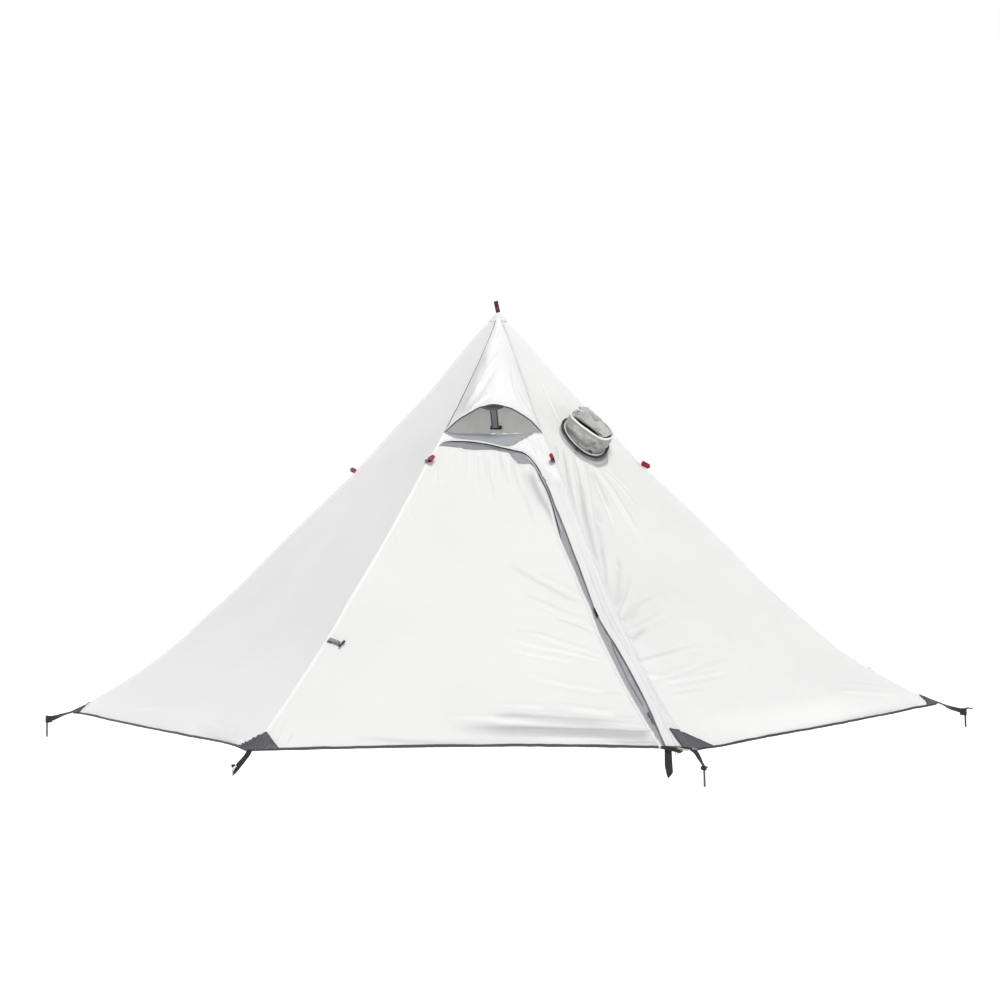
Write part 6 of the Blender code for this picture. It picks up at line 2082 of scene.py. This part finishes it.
prof = [(0.00, 1.0, 0.0), (0.06, 0.985, 0.006), (0.16, 0.955, 0.010), (0.27, 0.955, 0.0165), (0.34, 1.005, 0.0195),
        (0.42, 1.045, 0.0240), (0.55, 1.050, 0.0330), (0.70, 1.035, 0.0420), (0.85, 1.015, 0.0530), (1.0, 1.0, 0.0620)]
nf = 60
Fv = np.linspace(0, 1, nf)
fp = np.array([q[0] for q in prof])
sc = np.interp(Fv, fp, [q[1] for q in prof])
hh = np.interp(Fv, fp, [q[2] for q in prof])
ker = np.hanning(7) / np.hanning(7).sum()
sc[3:-3] = np.convolve(sc, ker, "valid")
hh[3:-3] = np.convolve(hh, ker, "valid")
r_base = np.minimum(R0 + 0.002, r_cord - 0.012)
x0, y0 = r_base * ca2, r_base * sa2
x1, y1 = rim_c[0] + r_rim * ca2, rim_c[1] + r_rim * sa2
G = (hh / hh[-1])[:, None]
X = (x0[None, :] * (1 - G) + x1[None, :] * G) * sc[:, None]
Y = (y0[None, :] * (1 - G) + y1[None, :] * G) * sc[:, None]
H = 0.0040 + hh[:, None] + 0 * X
cx = np.cos(a2)[None, :]
sx = np.sin(a2)[None, :]
wr = 0.0036 * (1 - np.abs(noise(cx * 5.5 + 4 + Fv[:, None] * 2.2, sx * 5.5 + 4 + Fv[:, None] * 1.4, 611)) * 2)
wr += 0.0016 * (1 - np.abs(noise(cx * 13 + 4 - Fv[:, None] * 5, sx * 13 + 4 + Fv[:, None] * 3, 612)) * 2)
wr *= np.sin(pi * np.clip(Fv, 0, 1))[:, None] ** 0.7
X = X + wr * cx
Y = Y + wr * sx
H = H + 0.0022 * noise(cx * 4 + 4, sx * 4 + Fv[:, None] * 3, 613) * np.sin(pi * Fv)[:, None]
P = jack(X, Y, H)
# folds that show on the collar's near side, in frame pixels
qx, qy = to_frame(P)
for pts, amp, wpx in (([(575, 437), (576.5, 443), (578.5, 446)], -0.0075, 1.7),
                      ([(578, 445.6), (586, 445.6), (596, 443.6)], -0.0080, 1.5),
                      ([(581, 440.5), (588, 442), (595, 443.6), (603, 443.5)], -0.0034, 1.0),
                      ([(597, 439.5), (602, 442.5), (606, 447)], -0.0048, 1.3),
                      ([(568.5, 422), (572, 430), (576, 437)], -0.0030, 1.2),
                      ([(579, 429), (578, 433), (576, 437)], -0.0022, 0.9),
                      ([(584, 436), (594, 441), (602, 442)], 0.0036, 2.0),
                      ([(570, 427), (575, 433), (581, 437)], 0.0028, 2.2)):
    d, f = along_line(qx, qy, smooth_line(pts, 12))
    P = P + (jn * 0.35 + unit(P - jc - jn * 0.03) * 0.65) * (1.6 * amp * np.exp(-(d / wpx) ** 2) * (P @ CAM_RIGHT * 0 + 1))[..., None] \
        * (smooth(f, 0, 0.15) * (1 - smooth(f, 0.85, 1)))[..., None] * np.sin(pi * np.clip(Fv * 0.94 + 0.03, 0, 1))[:, None, None] ** 0.5
run = np.concatenate([[0], np.cumsum(np.full(na - 1, 2 * pi * 0.08 / na))])
uv = np.stack(np.broadcast_arrays(run[None, :], (Fv * 0.075)[:, None]), -1)
o = sheet_grid("jack_collar_cloth", P, M_GLASS, uv, wrap=True, flip=False)
finish_piece(o, "tent_body", ["jack_collar"])
declare_cut(o, 0.53, 0.09, "gathered")
q = P[-1] + jn * 0.0006
o = tube("jack_rim_piping", q, 0.0036 + 0.0006 * noise(ca2 * 5 + 8, sa2 * 5 + 8, 615), M_PIPING, sides=10, closed=True)
finish_piece(o, "tent_body")

# cover: stiff cloth folded into a few flat facets over the rim, hinged on its upper side
COVER = [((570.9, 415.6), .0680), ((573.4, 416.8), .0700), ((578.0, 418.8), .0700), ((584.0, 423.0), .0700),
         ((590.5, 427.7), .0700), ((596.5, 432.4), .0700), ((602.0, 436.8), .0690), ((607.0, 436.6), .0690),
         ((611.6, 432.9), .0710), ((613.2, 434.2), .0690), ((572.6, 413.6), .0750), ((576.2, 412.2), .0850),
         ((577.6, 408.8), .1010), ((587.8, 410.0), .1070), ((591.3, 410.0), .1060), ((596.5, 415.2), .1040),
         ((600.6, 420.4), .0980), ((606.2, 426.0), .0880), ((609.6, 429.8), .0800), ((583.5, 414.9), .1000),
         ((579.6, 417.4), .0880), ((575.6, 415.6), .0800), ((584.3, 420.2), .0700), ((589.5, 421.2), .0715),
         ((593.6, 423.4), .0735), ((590.6, 415.6), .0960), ((590.0, 425.4), .0735), ((595.5, 428.6), .0760),
         ((595.0, 421.0), .0960), ((598.4, 428.0), .0880), ((601.6, 434.6), .0760), ((603.4, 429.0), .0840),
         ((604.6, 432.6), .0740), ((608.3, 431.4), .0790)]
cp = jack_seen([q[0] for q in COVER], np.array([q[1] for q in COVER]))
hid = []
for ang in np.radians([8, 34, 62, 90, 118, 148]):
    hid.append((rim_c[0] + 0.060 * cos(ang), rim_c[1] + 0.060 * sin(ang), 0.0660))
    hid.append((rim_c[0] + 0.036 * cos(ang), rim_c[1] + 0.038 * sin(ang) - 0.004, 0.0820))
cp = np.vstack([cp, np.array(hid)])
from mathutils.geometry import delaunay_2d_cdt
vv, _, ff, _, _, _ = delaunay_2d_cdt([Vector((q[0], q[1])) for q in cp], [], [], 0, 1e-5)
vv = np.array([tuple(q) for q in vv])
zz = np.array([cp[int(np.argmin(np.hypot(cp[:, 0] - q[0], cp[:, 1] - q[1]))), 2] for q in vv])
tris = [tuple(f) for f in ff]
pts3 = np.column_stack([vv, zz])
for _ in range(3):
    mids, new, lookup = [], [], {}

    def mid(i, j):
        key = (min(i, j), max(i, j))
        if key not in lookup:
            lookup[key] = len(pts3) + len(mids)
            mids.append((pts3[i] + pts3[j]) / 2)
        return lookup[key]

    for i, j, k3 in tris:
        ij, jk, ki = mid(i, j), mid(j, k3), mid(k3, i)
        new += [(i, ij, ki), (ij, j, jk), (ki, jk, k3), (ij, jk, ki)]
    pts3 = np.vstack([pts3, np.array(mids)])
    tris = new
nbr_sum, nbr_n = np.zeros(len(pts3)), np.zeros(len(pts3))
T3 = np.array(tris)
edge_n = np.zeros(len(pts3))
for _ in range(1):
    nbr_sum[:] = 0
    nbr_n[:] = 0
    for m0, m1 in ((0, 1), (1, 2), (2, 0), (1, 0), (2, 1), (0, 2)):
        np.add.at(nbr_sum, T3[:, m0], pts3[T3[:, m1], 2])
        np.add.at(nbr_n, T3[:, m0], 1)
    pts3[:, 2] = pts3[:, 2] * 0.5 + 0.5 * nbr_sum / np.maximum(nbr_n, 1)
pts3[:, 2] += 0.0010 * noise(pts3[:, 0] / 0.012, pts3[:, 1] / 0.012, 621)
pts3[:, 2] += 0.0016 * (0.5 - np.abs(noise(pts3[:, 0] / 0.026, pts3[:, 1] / 0.020, 622)))
world_p = jack(pts3[:, 0], pts3[:, 1], pts3[:, 2])
v1 = world_p[T3[:, 1]] - world_p[T3[:, 0]]
v2 = world_p[T3[:, 2]] - world_p[T3[:, 0]]
flipped = (np.cross(v1, v2) @ jn) < 0
T3[flipped] = T3[flipped][:, ::-1]
o = make("jack_cover_cloth", world_p, T3, M_COVER, pts3[:, :2], sharp=34)
finish_piece(o, "jack_cover", ["jack_cover_flap"])
declare_cut(o, 0.16, 0.15, "folded")
# its turned-in edge along the near side, and the dark slot under it
near_edge = cp[:8]
q = smooth_line(jack(near_edge[:, 0], near_edge[:, 1], near_edge[:, 2] + 0.0004), 50)
o = tube("jack_cover_hem", q, 0.0015, M_COVER, sides=8)
finish_piece(o, "jack_cover")
hinge_px = jack(rim_c[0] + 0.0590 * np.cos(np.radians(np.linspace(140, 20, 26))),
                rim_c[1] + 0.0590 * np.sin(np.radians(np.linspace(140, 20, 26))), 0.0655)
o = tube("jack_cover_hinge", hinge_px, 0.0018, M_COVER, sides=8)
finish_piece(o, "jack_cover")
# the strip that the cover hangs on: from the collar's rim to the fold line, and from there back to the cover
hx = np.linspace(-0.020, 0.034, 14)[None, :]
hv2 = np.linspace(0, 1, 14)[:, None]
fold_y, fold_h = 0.0966, 0.0674
end_y = rim_c[1] + np.sqrt(0.0590 ** 2 - hx ** 2)
o = sheet_grid("jack_cover_strip", jack(hx + 0 * hv2, fold_y + (end_y - fold_y) * hv2,
                                        fold_h + (0.0662 - fold_h) * hv2 + 0.0015 * np.sin(pi * hv2)),
               M_COVER, np.stack(np.broadcast_arrays(hx, hv2 * 0.024), -1))
finish_piece(o, "jack_cover")
declare_cut(o, 0.054, 0.026, "stretched")
edge_p = P[-1] - jc
up_side = edge_p @ ju > rim_c[1]
ex, ey, eh = (edge_p[up_side] @ a_ for a_ in (je, ju, jn))
order = np.argsort(ex)
rim_y, rim_l = (np.interp(hx[0], ex[order], q_[order])[None, :] for q_ in (ey, eh))
o = sheet_grid("jack_collar_strip", jack(hx + 0 * hv2, rim_y - 0.001 + (fold_y - rim_y + 0.001) * hv2,
                                         rim_l - 0.001 + (fold_h - 0.0006 - rim_l + 0.001) * hv2 - 0.002 * np.sin(pi * hv2)),
               M_GLASS, np.stack(np.broadcast_arrays(hx, hv2 * 0.026), -1))
finish_piece(o, "tent_body")
declare_cut(o, 0.054, float(np.mean(fold_y - rim_y)) + 0.003, "stretched")
o = tube("jack_cover_fold", jack(np.linspace(-0.020, 0.034, 8), fold_y, fold_h), 0.0018, M_COVER, sides=8)
finish_piece(o, "tent_body")
# painted shade: a near-black sheet for the dark inside of the collar, seen in the slot
rr = np.linspace(0, 0.965, 10)[:, None] * r_rim[None, :]
dark = jack(rim_c[0] + rr * ca2[None, :], rim_c[1] + rr * sa2[None, :], 0.0600 - 0.012 * (1 - rr / r_rim[None, :]))
o = sheet_grid("jack_inner_painted_shade", dark, M_SLOT_SHADE, np.stack([rr * ca2[None, :], rr * sa2[None, :]], -1), wrap=True)
finish_piece(o, "tent_body")


# =====================================================================
#  Pegs and the frame's own hard parts
# =====================================================================
for j, name in enumerate(RIDGE_NAMES):
    c, e = corner_dir(j)
    rp, ze = PEG_AT[j], EYE_Z[j]
    top = ze + {0: 0.004, 7: 0.004, 6: 0.0145, 1: 0.0125}.get(j, 0.0155)
    hook = unit({6: e * -0.8 + c * 0.1, 7: -e * 0.7 + c * 0.1, 0: CAM_RIGHT + Z3 * 0.1, 1: c}.get(j, c))
    reach = {1: 1.55, 0: 0.62, 6: 0.3, 7: 0.3}.get(j, 1.0)
    z0 = {1: 0.024, 6: 0.010, 7: 0.033}.get(j, 0.0)
    ctrl = [c * rp + Z3 * z0, c * rp + Z3 * (z0 + (top - z0) * 0.5), c * rp + Z3 * (top - 0.008), c * rp + hook * 0.0012 + Z3 * (top - 0.0025),
            c * rp + hook * 0.0050 * reach + Z3 * top, c * rp + hook * 0.0120 * reach + Z3 * (top - 0.0006),
            c * rp + hook * 0.0165 * reach + Z3 * (top - 0.0030)]
    path = smooth_line(ctrl, 46)
    path[:, 2] = np.maximum(path[:, 2], 0.0)
    thick = {7: 0.0016, 0: 0.0030, 1: 0.0031, 6: 0.0031}.get(j, 0.0035)
    rs = np.full(46, thick)
    rs[-14:] = thick * np.linspace(1.0, 0.52, 14)
    rs[-1] = thick * 0.3
    o = tube("ground_peg_" + name, path, rs, M_GUN if j in (0, 7) else M_PEG, sides=14)
    finish_piece(o, "tent_body", ["peg_" + name])
    if z0:
        # its bare, thinner lower end
        o = tube("ground_peg_point_" + name, np.linspace(c * rp, c * rp + Z3 * (z0 + 0.002), 8),
                 np.linspace(0.0010, 0.0015, 8), M_STEEL, sides=10)
        finish_piece(o, "tent_body")

KEPT = {"pole_upper_tube": M_ALU, "pole_lower_tube": M_ALU, "pole_tip": M_PLASTIC, "pole_lock_collar": M_PLASTIC,
        "pole_lock_lever": M_PLASTIC, "pole_foot": M_RUBBER, "apex_cup": M_PLASTIC, "zip_slider": M_SLIDER,
        "zip_pull": M_SLIDER, "jack_cord_lock": M_PLASTIC}
for name, mat in KEPT.items():
    for ms in body_nodes[name].material_slots:
        ms.material = mat


# =====================================================================
#  Floor, colour settings and light
# =====================================================================
def floor_material():
    t = Tree("floor")
    speck = t.noise(0.9, 2.0, 0.5)
    col = t.ramp(speck, [(0.3, (0.44, 0.44, 0.44)), (0.7, (0.46, 0.46, 0.46))])
    p = t.principled(Base_Color=col, Roughness=0.95)
    p.inputs["Specular IOR Level"].default_value = 0.0
    glow = t.n("Emission", Color=(1.0, 1.0, 1.0), Strength=1.0)
    return t.done(t.n("AddShader", i0=p, i1=glow))


floor = make("floor", [(-60, -60, 0), (60, -60, 0), (60, 60, 0), (-60, 60, 0)], [(0, 1, 2, 3)], floor_material(),
             smooth_shade=False)

scene = bpy.context.scene
scene.view_settings.view_transform = "Standard"
scene.view_settings.look = "None"
scene.view_settings.exposure = 0.0
scene.view_settings.gamma = 1.0

world = bpy.data.worlds.new("world")
scene.world = world
world.use_nodes = True
wt = world.node_tree
wt.nodes.clear()
w_out = wt.nodes.new("ShaderNodeOutputWorld")
w_mix = wt.nodes.new("ShaderNodeMixShader")
w_ray = wt.nodes.new("ShaderNodeLightPath")
w_seen = wt.nodes.new("ShaderNodeBackground")
w_light = wt.nodes.new("ShaderNodeBackground")
w_seen.inputs[0].default_value, w_seen.inputs[1].default_value = (1, 1, 1, 1), 1.0
w_light.inputs[0].default_value, w_light.inputs[1].default_value = (0.93, 0.97, 1.02, 1), 0.32
wt.links.new(w_ray.outputs["Is Camera Ray"], w_mix.inputs[0])
wt.links.new(w_light.outputs[0], w_mix.inputs[1])
wt.links.new(w_seen.outputs[0], w_mix.inputs[2])
wt.links.new(w_mix.outputs[0], w_out.inputs[0])

sun_data = bpy.data.lights.new("sun", "SUN")
sun_data.energy, sun_data.angle, sun_data.color = 2.10, radians(22), (1.0, 0.987, 0.958)
sun = bpy.data.objects.new("sun", sun_data)
scene.collection.objects.link(sun)
sun.rotation_euler = Vector((0.15, -0.60, 0.79)).to_track_quat("Z", "Y").to_euler()
